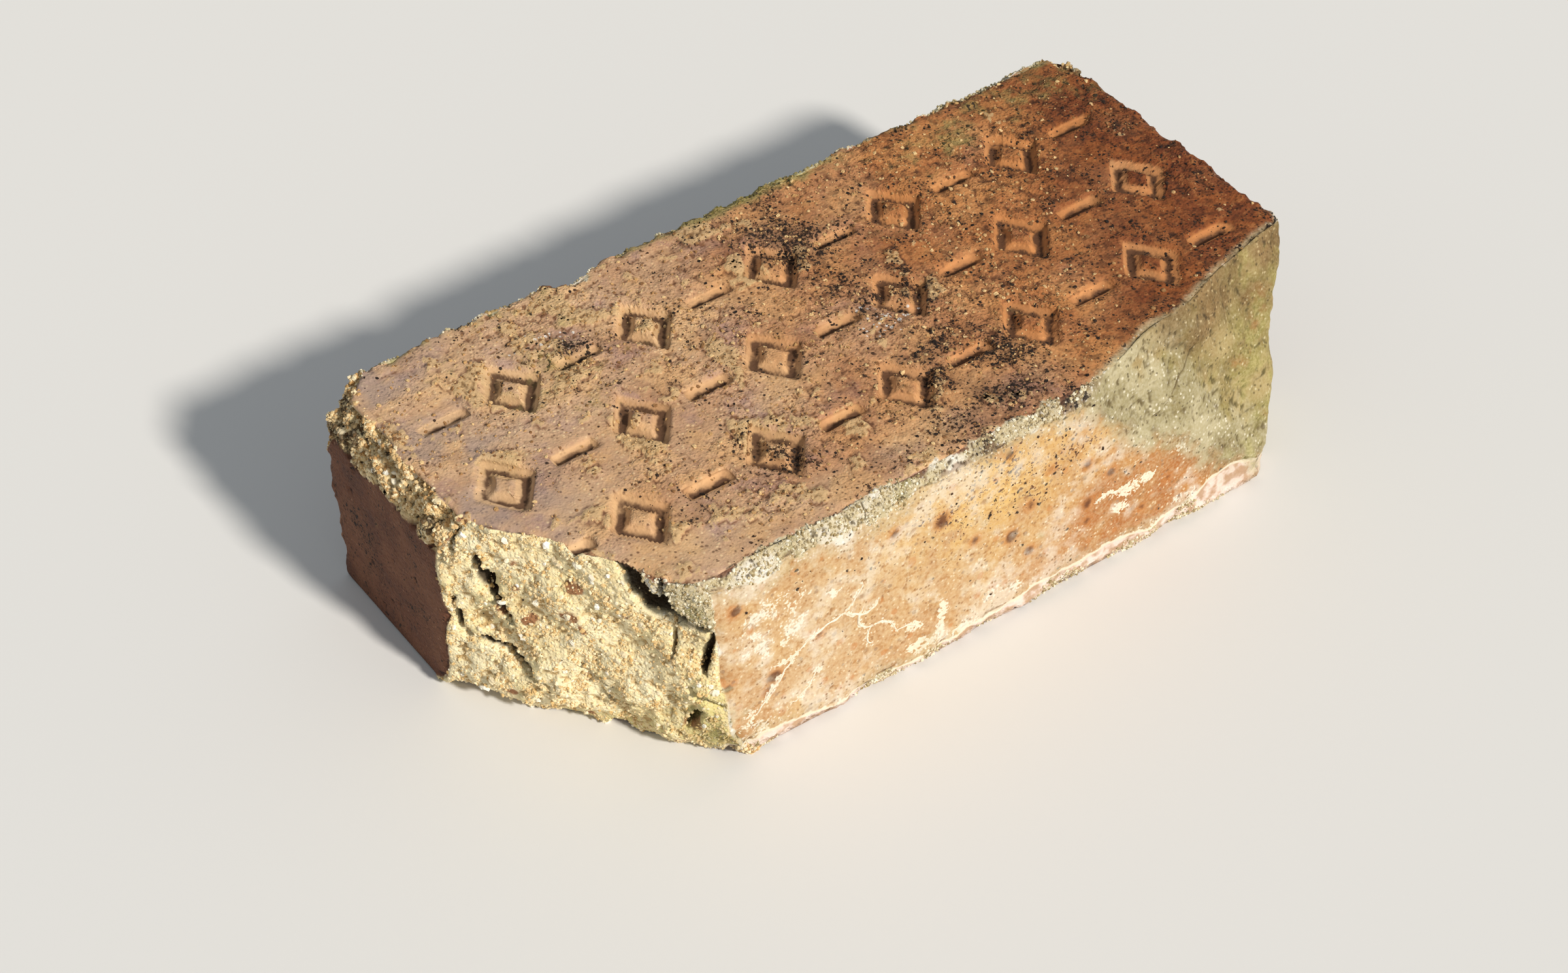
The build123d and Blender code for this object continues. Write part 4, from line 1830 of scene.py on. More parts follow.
@dataclass(frozen=True)
class Groups:
    """The node groups that the finishes share."""

    grain: bpy.types.NodeTree
    tone: bpy.types.NodeTree
    ragged: bpy.types.NodeTree
    specks: bpy.types.NodeTree
    flecks: bpy.types.NodeTree

    @classmethod
    def build(cls) -> "Groups":
        """Make all five groups."""
        makers = (cls.grain_group, cls.tone_group, cls.ragged_group, cls.specks_group, cls.flecks_group)
        return cls(*(make() for make in makers))

    @staticmethod
    def grain_group() -> bpy.types.NodeTree:
        """The unevenness that all of a piece's colouring shares, from the place in millimetres.

        Returns:
            A group that gives noise of three sizes, and grains of clay: how near a grain's
            middle is, and a number that each grain keeps.
        """
        graph, brought, taken = new_group("clay_grain", PLACE, GRAIN)
        place = brought["Place"]
        medium = graph.noise(place, 3.4, 3.0)
        stir = graph.add("ShaderNodeVectorMath", {0: (0.8, -0.7, 0.9), "Scale": medium}, operation="SCALE")
        stirred = graph.add("ShaderNodeVectorMath", {0: place, 1: stir.outputs["Vector"]}, operation="ADD")
        away, tone, _ = graph.cells(stirred.outputs["Vector"], 1 / 0.85)
        graph.feed(taken["Coarse"], graph.noise(place, 15.0, 3.0))
        graph.feed(taken["Medium"], medium)
        graph.feed(taken["Fine"], graph.noise(place, 0.75, 2.0))
        graph.feed(taken["Grain"], graph.between(away, 0.62, 0.2))
        graph.feed(taken["Grain Tone"], tone)
        return graph.tree

    @staticmethod
    def tone_group() -> bpy.types.NodeTree:
        """The colour of one kind of clay surface.

        Returns:
            A group that drifts from a ground colour to two tints over patches, sets pale and dark
            grains into it, and paints shade into its hollows.
        """
        numbers = kinds("Hollow, Pale Share, Dark Share", Kind.NUMBER)
        colours = kinds("Ground, Tint, Second Tint, Pale, Dark, Hollow Colour", Kind.COLOUR)
        inputs = {**GRAIN, **numbers, **colours}
        graph, brought, taken = new_group("clay_tone", inputs, {"Colour": Kind.COLOUR})
        patches = graph.plus(brought["Coarse"], graph.times(brought["Medium"], 0.35))
        pale = graph.math("GREATER_THAN", brought["Grain Tone"], graph.minus(1.0, brought["Pale Share"]))
        dark = graph.math("LESS_THAN", brought["Grain Tone"], brought["Dark Share"])
        colour = graph.laid(brought["Ground"], brought["Tint"], graph.between(patches, 0.62, 0.78))
        colour = graph.laid(colour, brought["Second Tint"], graph.between(patches, 0.6, 0.45))
        colour = graph.laid(colour, brought["Pale"], graph.between(brought["Fine"], 0.35, 0.7), 0.22)
        colour = graph.laid(colour, brought["Pale"], pale, brought["Grain"], 0.8)
        colour = graph.laid(colour, brought["Dark"], dark, brought["Grain"], 0.8)
        # painted shade: the hollow colour darkens the surface in its hollows
        colour = graph.laid(colour, brought["Hollow Colour"], graph.between(brought["Hollow"], 0.05, 0.95))
        graph.feed(taken["Colour"], colour)
        return graph.tree

    @staticmethod
    def ragged_group() -> bpy.types.NodeTree:
        """A mask with a ragged edge, from a field that is 0 at the edge.

        Returns:
            A group that adds noise to the field and cuts it at 0.
        """
        inputs = kinds("Field, Noise, Reach, Softness", Kind.NUMBER)
        graph, brought, taken = new_group("ragged_edge", inputs, MASK)
        swing = graph.times(graph.minus(brought["Noise"], 0.5), brought["Reach"], 2.0)
        moved = graph.plus(brought["Field"], swing)
        low = graph.times(brought["Softness"], -1.0)
        graph.feed(taken["Mask"], graph.between(moved, low, brought["Softness"]))
        return graph.tree

    @staticmethod
    def specks_group() -> bpy.types.NodeTree:
        """Scattered specks, each of its own size.

        Returns:
            A group that shows a speck in the given share of cells of the given size.
        """
        inputs = {**PLACE, **kinds("Cell, Share, Noise", Kind.NUMBER)}
        graph, brought, taken = new_group("specks", inputs, MASK)
        away, chance, size = graph.cells(brought["Place"], graph.math("DIVIDE", 1.0, brought["Cell"]))
        shown = graph.math("LESS_THAN", chance, brought["Share"])
        reach = graph.plus(graph.times(size, 0.26), 0.14)
        ragged = graph.plus(reach, graph.times(graph.minus(brought["Noise"], 0.5), 0.5))
        within = graph.between(graph.minus(ragged, away), -0.03, 0.06)
        graph.feed(taken["Mask"], graph.times(shown, within))
        return graph.tree

    @staticmethod
    def flecks_group() -> bpy.types.NodeTree:
        """Irregular flecks that run together where there are many.

        Returns:
            A group that shows the crests of fine noise: none at a share of 0, most at 1.
        """
        inputs = {**PLACE, **kinds("Size, Share", Kind.NUMBER)}
        graph, brought, taken = new_group("flecks", inputs, MASK)
        noise = graph.noise(brought["Place"], brought["Size"], 2.5)
        low = graph.minus(0.76, graph.times(brought["Share"], 0.25))
        graph.feed(taken["Mask"], graph.between(noise, low, graph.plus(low, 0.022)))
        return graph.tree


@dataclass(frozen=True)
class ClayTone:
    """The colours of one kind of clay surface; the hollow colour is painted shade, laid into its hollows."""

    ground: Colour
    tint: Colour
    second_tint: Colour
    pale: Colour
    pale_share: float
    dark: Colour
    dark_share: float
    # painted shade, laid into the hollows
    hollow: Colour


def new_material(name: str) -> tuple[bpy.types.Material, Graph]:
    """An empty material and its graph.

    Args:
        name: the material's name.

    Returns:
        The material, and the graph that adds its nodes.
    """
    material = bpy.data.materials.new(name)
    material.use_nodes = True
    material.node_tree.nodes.clear()
    return material, Graph(material.node_tree)


@dataclass(frozen=True)
class Painter(Graph):
    """The graph of one material, with the shared groups and the grain at each place."""

    groups: Groups
    place: Socket
    grain: bpy.types.Node

    @classmethod
    def start(cls, name: str, groups: Groups) -> tuple[bpy.types.Material, "Painter"]:
        """Begin a material that reads the place on the piece in millimetres, and the grain there.

        Args:
            name: the material's name.
            groups: the shared shader groups.

        Returns:
            The material and its painter.
        """
        material, graph = new_material(name)
        where = graph.add("ShaderNodeTexCoord", {}).outputs["Object"]
        scaled = graph.add("ShaderNodeVectorMath", {0: where, "Scale": 1 / MM}, operation="SCALE")
        place = scaled.outputs["Vector"]
        return material, cls(graph.tree, groups, place, graph.use(groups.grain, {"Place": place}))

    @property
    def coarse(self) -> Socket:
        """Noise in patches of centimetres."""
        return self.grain.outputs["Coarse"]

    @property
    def medium(self) -> Socket:
        """Noise in patches of a few millimetres."""
        return self.grain.outputs["Medium"]

    @property
    def fine(self) -> Socket:
        """Noise finer than a millimetre."""
        return self.grain.outputs["Fine"]

    def swayed(self, value: Value, middle: float, swing: float) -> Socket:
        """A number moved up and down by the medium noise, which is still at its middle."""
        return self.plus(value, self.times(self.minus(self.medium, middle), swing))

    def clay(self, tone: ClayTone, hollow: Value, ground: Value = None, tint: Value = None) -> Socket:
        """The colour of one kind of clay surface.

        Args:
            tone: its colours.
            hollow: how deep in a hollow the surface is, from -1 to 1, which sets its painted shade.
            ground, tint: colours that take the place of the tone's own, where they drift.

        Returns:
            The colour.
        """
        inputs = {name: self.grain.outputs[name] for name in GRAIN}
        inputs.update({
            "Hollow": hollow,
            "Ground": ground or tone.ground,
            "Tint": tint or tone.tint,
            "Second Tint": tone.second_tint,
            "Pale": tone.pale,
            "Pale Share": tone.pale_share,
            "Dark": tone.dark,
            "Dark Share": tone.dark_share,
            "Hollow Colour": tone.hollow,
        })
        return self.use(self.groups.tone, inputs).outputs["Colour"]

    def ragged(self, edge: Value, noise: Value, reach: float, softness: float) -> Socket:
        """A mask with a ragged edge, from a number that is 0 at the edge."""
        inputs = {"Field": edge, "Noise": noise, "Reach": reach, "Softness": softness}
        return self.use(self.groups.ragged, inputs).outputs["Mask"]

    def specks(self, cell: float, share: Value, noise: Value) -> Socket:
        """A mask of scattered specks, in a share of the cells."""
        inputs = {"Place": self.place, "Cell": cell, "Share": share, "Noise": noise}
        return self.use(self.groups.specks, inputs).outputs["Mask"]

    def flecked(self, colour: Value, fleck: Colour, amount: Value, sizes: tuple, strength: float) -> Socket:
        """Lay irregular flecks over a colour.

        Args:
            colour: what lies under them.
            fleck: their own colour.
            amount: the share of the surface that they take.
            sizes: a size in millimetres and a part of the amount, for each layer of flecks.
            strength: how strongly they cover.

        Returns:
            The colour with them.
        """
        for size, part in sizes:
            inputs = {"Place": self.place, "Size": size, "Share": self.times(amount, part)}
            mask = self.use(self.groups.flecks, inputs).outputs["Mask"]
            colour = self.laid(colour, fleck, mask, strength)
        return colour

    def finish(self, colour: Value, roughness: Value, height: Value, bump: float) -> None:
        """End the material in a dull, slightly uneven surface.

        Args:
            colour, roughness: what the shader shows.
            height: the fine unevenness, from 0 to 1.
            bump: how high that unevenness stands, in metres.
        """
        raised = self.add("ShaderNodeBump", {"Height": height, "Distance": bump, "Strength": 1.0})
        inputs = {"Base Color": colour, "Roughness": roughness, "Normal": raised.outputs["Normal"]}
        shader = self.add("ShaderNodeBsdfPrincipled", {**inputs, "Specular IOR Level": 0.22})
        self.add("ShaderNodeOutputMaterial", {"Surface": shader.outputs["BSDF"]})


@dataclass(frozen=True)
class FiredClay:
    """The finish of the brick's skin: red face clay, buff body, soot, growth, lime and iron, with painted
    shade in its hollows and crevices.
    """

    # The last colour of each tone is painted shade for its hollows; the chipped tone's is nearly black, for
    # the gaps between its lumps.
    bed: ClayTone = ClayTone(
        srgb(196, 158, 124), srgb(212, 170, 124), srgb(176, 142, 126),
        srgb(232, 200, 156), 0.1, srgb(100, 68, 48), 0.1, srgb(120, 80, 54),
    )
    bed_far: ClayTone = ClayTone(
        srgb(172, 108, 62), srgb(188, 126, 74), srgb(152, 94, 60),
        srgb(214, 164, 108), 0.06, srgb(84, 50, 34), 0.1, srgb(100, 60, 38),
    )
    bed_deep: ClayTone = ClayTone(
        srgb(120, 62, 33), srgb(142, 79, 40), srgb(100, 52, 30),
        srgb(160, 106, 60), 0.03, srgb(46, 27, 20), 0.2, srgb(56, 32, 21),
    )
    # dirt and painted shade along the floors of the sunk marks
    groove_dirt_and_shade: Colour = srgb(76, 50, 35)
    groove: Colour = srgb(222, 182, 134)
    groove_far: Colour = srgb(214, 146, 88)
    crust: Colour = srgb(206, 172, 124)
    # painted shade for the hollows of the hardened islands
    crust_hollow_shade: Colour = srgb(142, 112, 72)
    front: ClayTone = ClayTone(
        srgb(188, 152, 110), srgb(200, 172, 134), srgb(182, 142, 98),
        srgb(220, 200, 164), 0.12, srgb(146, 106, 68), 0.07, srgb(152, 112, 74),
    )
    front_far: Colour = srgb(162, 98, 45)
    front_far_tint: Colour = srgb(174, 114, 57)
    front_gold: Colour = srgb(207, 168, 102)
    front_cream: Colour = srgb(216, 194, 152)
    front_ochre: Colour = srgb(166, 118, 68)
    skin: ClayTone = ClayTone(
        srgb(104, 64, 46), srgb(118, 76, 54), srgb(88, 56, 45),
        srgb(156, 116, 88), 0.06, srgb(52, 36, 30), 0.12, srgb(60, 39, 31),
    )
    broken: ClayTone = ClayTone(
        srgb(236, 216, 166), srgb(243, 227, 184), srgb(226, 201, 145),
        srgb(250, 240, 210), 0.12, srgb(176, 142, 88), 0.06, srgb(190, 158, 106),
    )
    break_olive: Colour = srgb(212, 198, 116)
    spalled: ClayTone = ClayTone(
        srgb(138, 124, 72), srgb(160, 140, 94), srgb(150, 114, 66),
        srgb(200, 188, 150), 0.08, srgb(88, 76, 44), 0.1, srgb(84, 74, 42),
    )
    spall_brown: ClayTone = ClayTone(
        srgb(102, 76, 46), srgb(122, 94, 58), srgb(90, 72, 42),
        srgb(176, 152, 110), 0.1, srgb(60, 44, 29), 0.14, srgb(60, 46, 29),
    )
    strip: ClayTone = ClayTone(
        srgb(146, 134, 96), srgb(170, 158, 122), srgb(130, 116, 74),
        srgb(214, 206, 182), 0.16, srgb(88, 76, 48), 0.12, srgb(96, 82, 52),
    )
    chipped: ClayTone = ClayTone(
        srgb(232, 204, 148), srgb(244, 222, 172), srgb(204, 170, 112),
        srgb(248, 236, 202), 0.14, srgb(112, 80, 46), 0.1, srgb(50, 35, 22),
    )
    worn: ClayTone = ClayTone(
        srgb(184, 168, 130), srgb(214, 206, 190), srgb(154, 142, 96),
        srgb(236, 232, 220), 0.2, srgb(84, 70, 48), 0.2, srgb(76, 62, 40),
    )
    bed_cool: Colour = srgb(158, 138, 129)
    soot_black: Colour = srgb(40, 31, 27)
    soot_brown: Colour = srgb(84, 56, 40)
    moss: Colour = srgb(138, 132, 72)
    moss_light: Colour = srgb(170, 158, 100)
    lime: Colour = srgb(230, 216, 192)
    foot_lime: Colour = srgb(228, 208, 196)
    foot_lime_low: Colour = srgb(180, 146, 118)
    iron: Colour = srgb(88, 50, 32)
    iron_halo: Colour = srgb(184, 118, 60)
    pale_grit: Colour = srgb(220, 212, 202)
    dull_dot: Colour = srgb(134, 104, 80)
    brown_grog: Colour = srgb(158, 112, 76)
    bruise: Colour = srgb(150, 98, 66)
    # dirt and painted shadow for the crevices of the break
    crevice_dirt_and_shadow: Colour = srgb(48, 33, 21)
    bump: float = 0.62 * MM

    def build(self, groups: Groups) -> bpy.types.Material:
        """Layer every kind of surface, and then what has settled on them.

        Args:
            groups: the shared node groups.

        Returns:
            The material.
        """
        material, paint = Painter.start("fired_clay_skin", groups)
        close, wide = paint.field("fine_hollow"), paint.field("wide_hollow")
        # how deep in a hollow each place is; it sets the painted shade of every tone
        hollow = paint.plus(paint.times(close, 0.7), paint.times(wide, 0.25))
        worn = paint.clay(self.worn, hollow)
        colour = paint.clay(self.skin, hollow)
        colour = paint.laid(colour, self.marked_bed(paint, close), paint.rise("bed", -0.6, -0.2))
        colour = paint.laid(colour, self.long_face(paint, hollow), paint.rise("front", -0.6, -0.2))
        colour = self.broken_kinds(paint, colour, hollow, worn)
        colour = self.foot_crust(paint, colour)
        colour = self.settled(paint, colour)
        paint.finish(colour, paint.between(paint.fine, -2.0, 1.6), self.unevenness(paint), self.bump)
        return material

    def marked_bed(self, paint: Painter, close: Value) -> Socket:
        """The bed's clay, with cleaner walls in its marks, dirt and painted shade along their floors, and
        hardened islands whose hollows get painted shade.

        Args:
            paint: the material in the making.
            close: how deep in a small hollow the surface is.

        Returns:
            The colour.
        """
        warm, sunk = paint.field("warm"), paint.field("sunk")
        # painted shade in the bed's small hollows
        hollow = paint.times(close, 0.8)
        near, far, deep = (paint.clay(tone, hollow) for tone in (self.bed, self.bed_far, self.bed_deep))
        bed = paint.laid(paint.laid(near, far, warm), deep, paint.field("deep"))
        bed = paint.laid(bed, self.bed_cool, paint.field("cool"), 0.62)
        mottle = paint.noise(paint.place, 2.4, 4.0)
        bed = paint.laid(bed, self.bed_deep.dark, paint.between(mottle, 0.5, 0.36), warm, 0.5)
        bed = paint.laid(bed, self.bed_far.tint, paint.between(mottle, 0.55, 0.7), warm, 0.4)
        islands = paint.plus(paint.field("crust"), paint.minus(paint.fine, 0.5))
        # painted shade: the islands darken in their hollows and stay light on their crests
        hardened = paint.laid(self.crust, self.crust_hollow_shade, paint.between(close, -0.3, 0.6))
        bed = paint.laid(bed, hardened, paint.between(islands, 0.35, 0.65), 0.75)
        groove = paint.laid(self.groove, self.groove_far, warm)
        bed = paint.laid(bed, groove, paint.between(sunk, 0.14, 0.45), 0.58)
        # dirt and painted shade along the floors of the marks
        floor = paint.swayed(sunk, 0.5, 0.7)
        return paint.laid(bed, self.groove_dirt_and_shade, paint.between(floor, 0.7, 0.95), 0.9)

    def long_face(self, paint: Painter, hollow: Value) -> Socket:
        """The front's clay, from buff to orange and gold, with a milky and an ochre mottle.

        Args:
            paint: the material in the making.
            hollow: how deep in a hollow the surface is.

        Returns:
            The colour, with the front's deposits.
        """
        warm, golden = paint.field("warm"), paint.field("golden")
        ground, tint = (
            paint.laid(paint.laid(near, far, warm), self.front_gold, golden)
            for near, far in ((self.front.ground, self.front_far), (self.front.tint, self.front_far_tint))
        )
        front = paint.clay(self.front, hollow, ground, tint)
        mottle = paint.noise(paint.place, 1.5, 4.0)
        milky = paint.minus(0.3, paint.times(paint.larger(warm, golden), 0.2))
        front = paint.laid(front, self.front_cream, paint.between(mottle, 0.52, 0.7), milky)
        front = paint.laid(front, self.front_ochre, paint.between(mottle, 0.48, 0.32), 0.6)
        return self.front_deposits(paint, front)

    def front_deposits(self, paint: Painter, colour: Value) -> Socket:
        """Rusted iron spots, dots, soot and lime on the front, over its own colour.

        Args:
            paint: the material's painter.
            colour: the front's own colour.

        Returns:
            The socket with the colour.
        """
        iron, soot = paint.field("iron"), paint.field("soot")
        halo = paint.ragged(paint.plus(iron, 1.1), paint.medium, 0.8, 1.1)
        colour = paint.laid(colour, self.iron_halo, halo, 0.55)
        colour = paint.laid(colour, self.iron, paint.ragged(iron, paint.medium, 1.6, 0.7), 0.85)
        for speck, cell, share, noise, strength in (
            (self.iron_halo, 4.2, 0.34, paint.medium, 0.5),
            (self.dull_dot, 2.4, 0.22, paint.medium, 0.55),
            (self.soot_black, 2.3, paint.times(soot, 0.55), paint.fine, 0.95),
        ):
            colour = paint.laid(colour, speck, paint.specks(cell, share, noise), strength)
        colour = paint.flecked(colour, self.iron, soot, ((0.75, 0.78), (1.5, 0.66)), 0.85)
        torn = paint.plus(paint.times(paint.medium, 0.5), paint.times(paint.fine, 0.5))
        lime = paint.ragged(paint.field("lime"), torn, 4.2, 0.25)
        crust = paint.times(lime, paint.plus(paint.between(paint.fine, 0.3, 0.55), 0.4))
        return paint.laid(colour, self.lime, paint.math("MINIMUM", crust, 0.95))

    def broken_kinds(self, paint: Painter, colour: Value, hollow: Value, worn: Value) -> Socket:
        """Everything that is broken, spalled, chipped or worn, over the pressed faces, with dirt and painted
        shadow in the crevices.

        Args:
            paint: the material in the making.
            colour: the pressed faces' colour.
            hollow: how deep in a hollow the surface is.
            worn: the colour of a worn arris.

        Returns:
            The colour with all of them.
        """
        torn = paint.plus(paint.times(paint.coarse, 0.45), paint.times(paint.medium, 0.55))
        front, spall, strip = paint.field("front"), paint.field("spalled"), paint.clay(self.strip, hollow)
        for edge, over, reach, shown, strength in (
            (paint.plus(paint.field("worn"), 3.2), worn, 7.0, paint.between(front, -3.0, -0.5), 0.5),
            (paint.plus(spall, 2.2), strip, 6.0, paint.between(spall, -3.4, -1.0), 0.7),
        ):
            colour = paint.laid(colour, over, paint.ragged(edge, torn, reach, 1.6), shown, strength)
        brown = paint.clay(self.spall_brown, hollow)
        spalled = paint.laid(paint.clay(self.spalled, hollow), brown, paint.field("umber"), 0.85)
        spalled = paint.laid(spalled, strip, paint.field("strip"))
        olive = paint.clay(self.broken, hollow, self.break_olive, self.broken.second_tint)
        broken = paint.laid(paint.clay(self.broken, hollow), olive, paint.field("olive"), 0.8)
        for name, over, reach, softness in (
            ("spalled", spalled, 5.0, 0.9),
            ("chipped", paint.clay(self.chipped, hollow), 1.6, 0.4),
            ("worn", worn, 5.0, 0.4),
            ("broken", broken, 1.2, 0.4),
        ):
            colour = paint.laid(colour, over, paint.ragged(paint.field(name), torn, reach, softness))
        standing = paint.between(paint.plus(paint.field("rim"), paint.times(torn, 2.4)), 2.3, 2.7)
        near_front = paint.between(paint.larger(front, spall), -3.0, -1.0)
        bruised = paint.laid(paint.laid(self.bruise, self.skin.pale, paint.medium), worn, near_front)
        patchy = paint.larger(near_front, paint.between(paint.coarse, 0.42, 0.56))
        colour = paint.laid(colour, bruised, standing, paint.rise("broken", 0.4, -0.2), patchy)
        grog = paint.specks(8.0, 0.35, paint.medium)
        colour = paint.laid(colour, self.brown_grog, grog, paint.rise("broken", 0.2, 1.0))
        # dirt and painted shadow along the crevices of the break
        dirt = paint.plus(paint.field("cut"), paint.times(paint.medium, 1.6))
        return paint.laid(colour, self.crevice_dirt_and_shadow, paint.between(dirt, 1.4, 3.2), 0.95)

    def foot_crust(self, paint: Painter, colour: Value) -> Socket:
        """The wavy crust of lime along the foot of the front, paler along its upper edge.

        Args:
            paint: the material's painter.
            colour: the colour under the crust.

        Returns:
            The socket with the colour.
        """
        crust = paint.field("foot_lime")
        cloudy = paint.laid(self.foot_lime_low, self.foot_lime, paint.between(paint.medium, 0.4, 0.6))
        inner = paint.plus(crust, paint.times(paint.medium, 1.4))
        edged = paint.laid(cloudy, self.lime, paint.between(inner, 1.9, 1.3))
        return paint.laid(colour, edged, paint.ragged(crust, paint.medium, 1.4, 0.25), 0.85)

    def settled(self, paint: Painter, colour: Value) -> Socket:
        """Green growth, pale grit and soot, over everything else, with painted shade on the chipped near
        arris and the near end.

        Args:
            paint: the material's painter.
            colour: the colour under them.

        Returns:
            The socket with the colour.
        """
        growth = paint.swayed(paint.field("moss"), 0.5, 0.9)
        green = paint.laid(self.moss, self.moss_light, paint.between(paint.fine, 0.35, 0.65))
        colour = paint.laid(colour, green, paint.between(growth, 0.25, 0.8), 0.8)
        pale = paint.specks(1.3, paint.rise("pale", 0.2, 1.2), paint.medium)
        colour = paint.laid(colour, self.pale_grit, pale, 0.9)
        clean = paint.larger(paint.rise("spalled", -0.5, 0.5), paint.rise("front", -1.0, 0.0))
        walls = paint.times(paint.rise("sunk", 0.1, 0.4), 0.45)
        # the soot field also holds painted shade over the chipped near arris and the near end, laid on here
        # as soot colour
        soot = paint.times(paint.field("soot"), paint.minus(1.0, clean), paint.minus(1.0, walls))
        soot = paint.plus(soot, paint.times(paint.field("fine_hollow"), 0.12))
        gathered = paint.swayed(soot, 0.55, 0.9)
        colour = paint.laid(colour, self.soot_brown, paint.between(gathered, 0.25, 0.95), 0.45)
        return paint.flecked(colour, self.soot_black, gathered, ((0.7, 0.95), (1.7, 0.8)), 0.92)

    def unevenness(self, paint: Painter) -> Socket:
        """The height of the fine grain, which is weak on the smooth faces and in the marks.

        Args:
            paint: the material's painter.

        Returns:
            The socket with the height.
        """
        smooth = paint.larger(paint.field("front"), paint.field("spalled"))
        smooth = paint.larger(paint.between(smooth, -0.2, 0.5), paint.rise("sunk", 0.1, 0.5))
        even = paint.times(paint.minus(1.0, paint.field("rough")), paint.rise("bed", -0.2, 0.5), 0.9)
        share = paint.minus(1.0, paint.times(paint.larger(smooth, even), 0.75))
        grit = paint.noise(paint.place, 1.7, 2.0)
        height = paint.plus(paint.times(paint.fine, 0.5), paint.times(grit, 0.55))
        height = paint.plus(height, paint.times(paint.grain.outputs["Grain"], 0.22))
        return paint.times(height, share)


@dataclass(frozen=True)
class LumpFinish:
    """The finish of scattered lumps: each has its own tone between three colours."""

    name: str
    low: Colour
    middle: Colour
    high: Colour
    stain: Colour = srgb(124, 118, 58)
    # soot dirt, and painted shade on the chipped near arris
    dirt: Colour = srgb(72, 54, 37)
    dirt_and_shade_share: float = 0.0
    bump: float = 0.08 * MM

    def build(self, groups: Groups) -> bpy.types.Material:
        """Blend the colours by each lump's tone, cloud them a little, stain them, and darken them with soot
        and painted shade.

        Args:
            groups: the shared shader groups.

        Returns:
            The material.
        """
        material, paint = Painter.start(self.name, groups)
        tone = paint.field("tone")
        colour = paint.laid(self.low, self.middle, paint.between(tone, 0.1, 0.5))
        colour = paint.laid(colour, self.high, paint.between(tone, 0.5, 0.95))
        colour = paint.laid(colour, self.low, paint.between(paint.fine, 0.4, 0.75), 0.35)
        colour = paint.laid(colour, self.stain, paint.rise("moss", 0.2, 0.9), 0.7)
        # darkens lumps where the soot field is high; over the chipped near arris that field is painted shade
        colour = paint.laid(colour, self.dirt, paint.rise("soot", 0.46, 0.62), self.dirt_and_shade_share)
        paint.finish(colour, paint.between(tone, -3.0, 1.3), paint.fine, self.bump)
        return material


class Grit(Enum):
    """The finish of each kind of loose grain."""

    CREAM = LumpFinish("cream_grit", srgb(206, 172, 116), srgb(230, 204, 156), srgb(244, 228, 190))
    # the chip grit darkens with soot and painted shade
    BUFF = LumpFinish("buff_grit", srgb(186, 146, 94), srgb(226, 196, 144), srgb(244, 228, 190), dirt_and_shade_share=0.85)
    GROG = LumpFinish("pale_grog", srgb(232, 214, 176), srgb(240, 230, 206), srgb(248, 243, 230))
    WEATHERED = LumpFinish("weathered_grit", srgb(150, 130, 90), srgb(200, 184, 146), srgb(236, 228, 204))
    RED = LumpFinish("red_grit", srgb(132, 94, 60), srgb(186, 146, 96), srgb(222, 190, 138))
    SOOT = LumpFinish("soot", srgb(34, 27, 24), srgb(54, 42, 35), srgb(84, 60, 44))


@dataclass(frozen=True)
class PlainMatt:
    """A plain matt finish with a faint cloud, for the lime veins."""

    name: str
    ground: Colour = srgb(236, 226, 206)
    cloud: Colour = srgb(214, 200, 174)
    bump: float = 0.05 * MM

    def build(self, groups: Groups) -> bpy.types.Material:
        """Cloud one colour with another by fine noise.

        Args:
            groups: the shared shader groups.

        Returns:
            The material.
        """
        material, paint = Painter.start(self.name, groups)
        colour = paint.laid(self.ground, self.cloud, paint.between(paint.fine, 0.3, 0.7))
        paint.finish(colour, paint.between(paint.fine, -3.0, 1.3), paint.fine, self.bump)
        return material


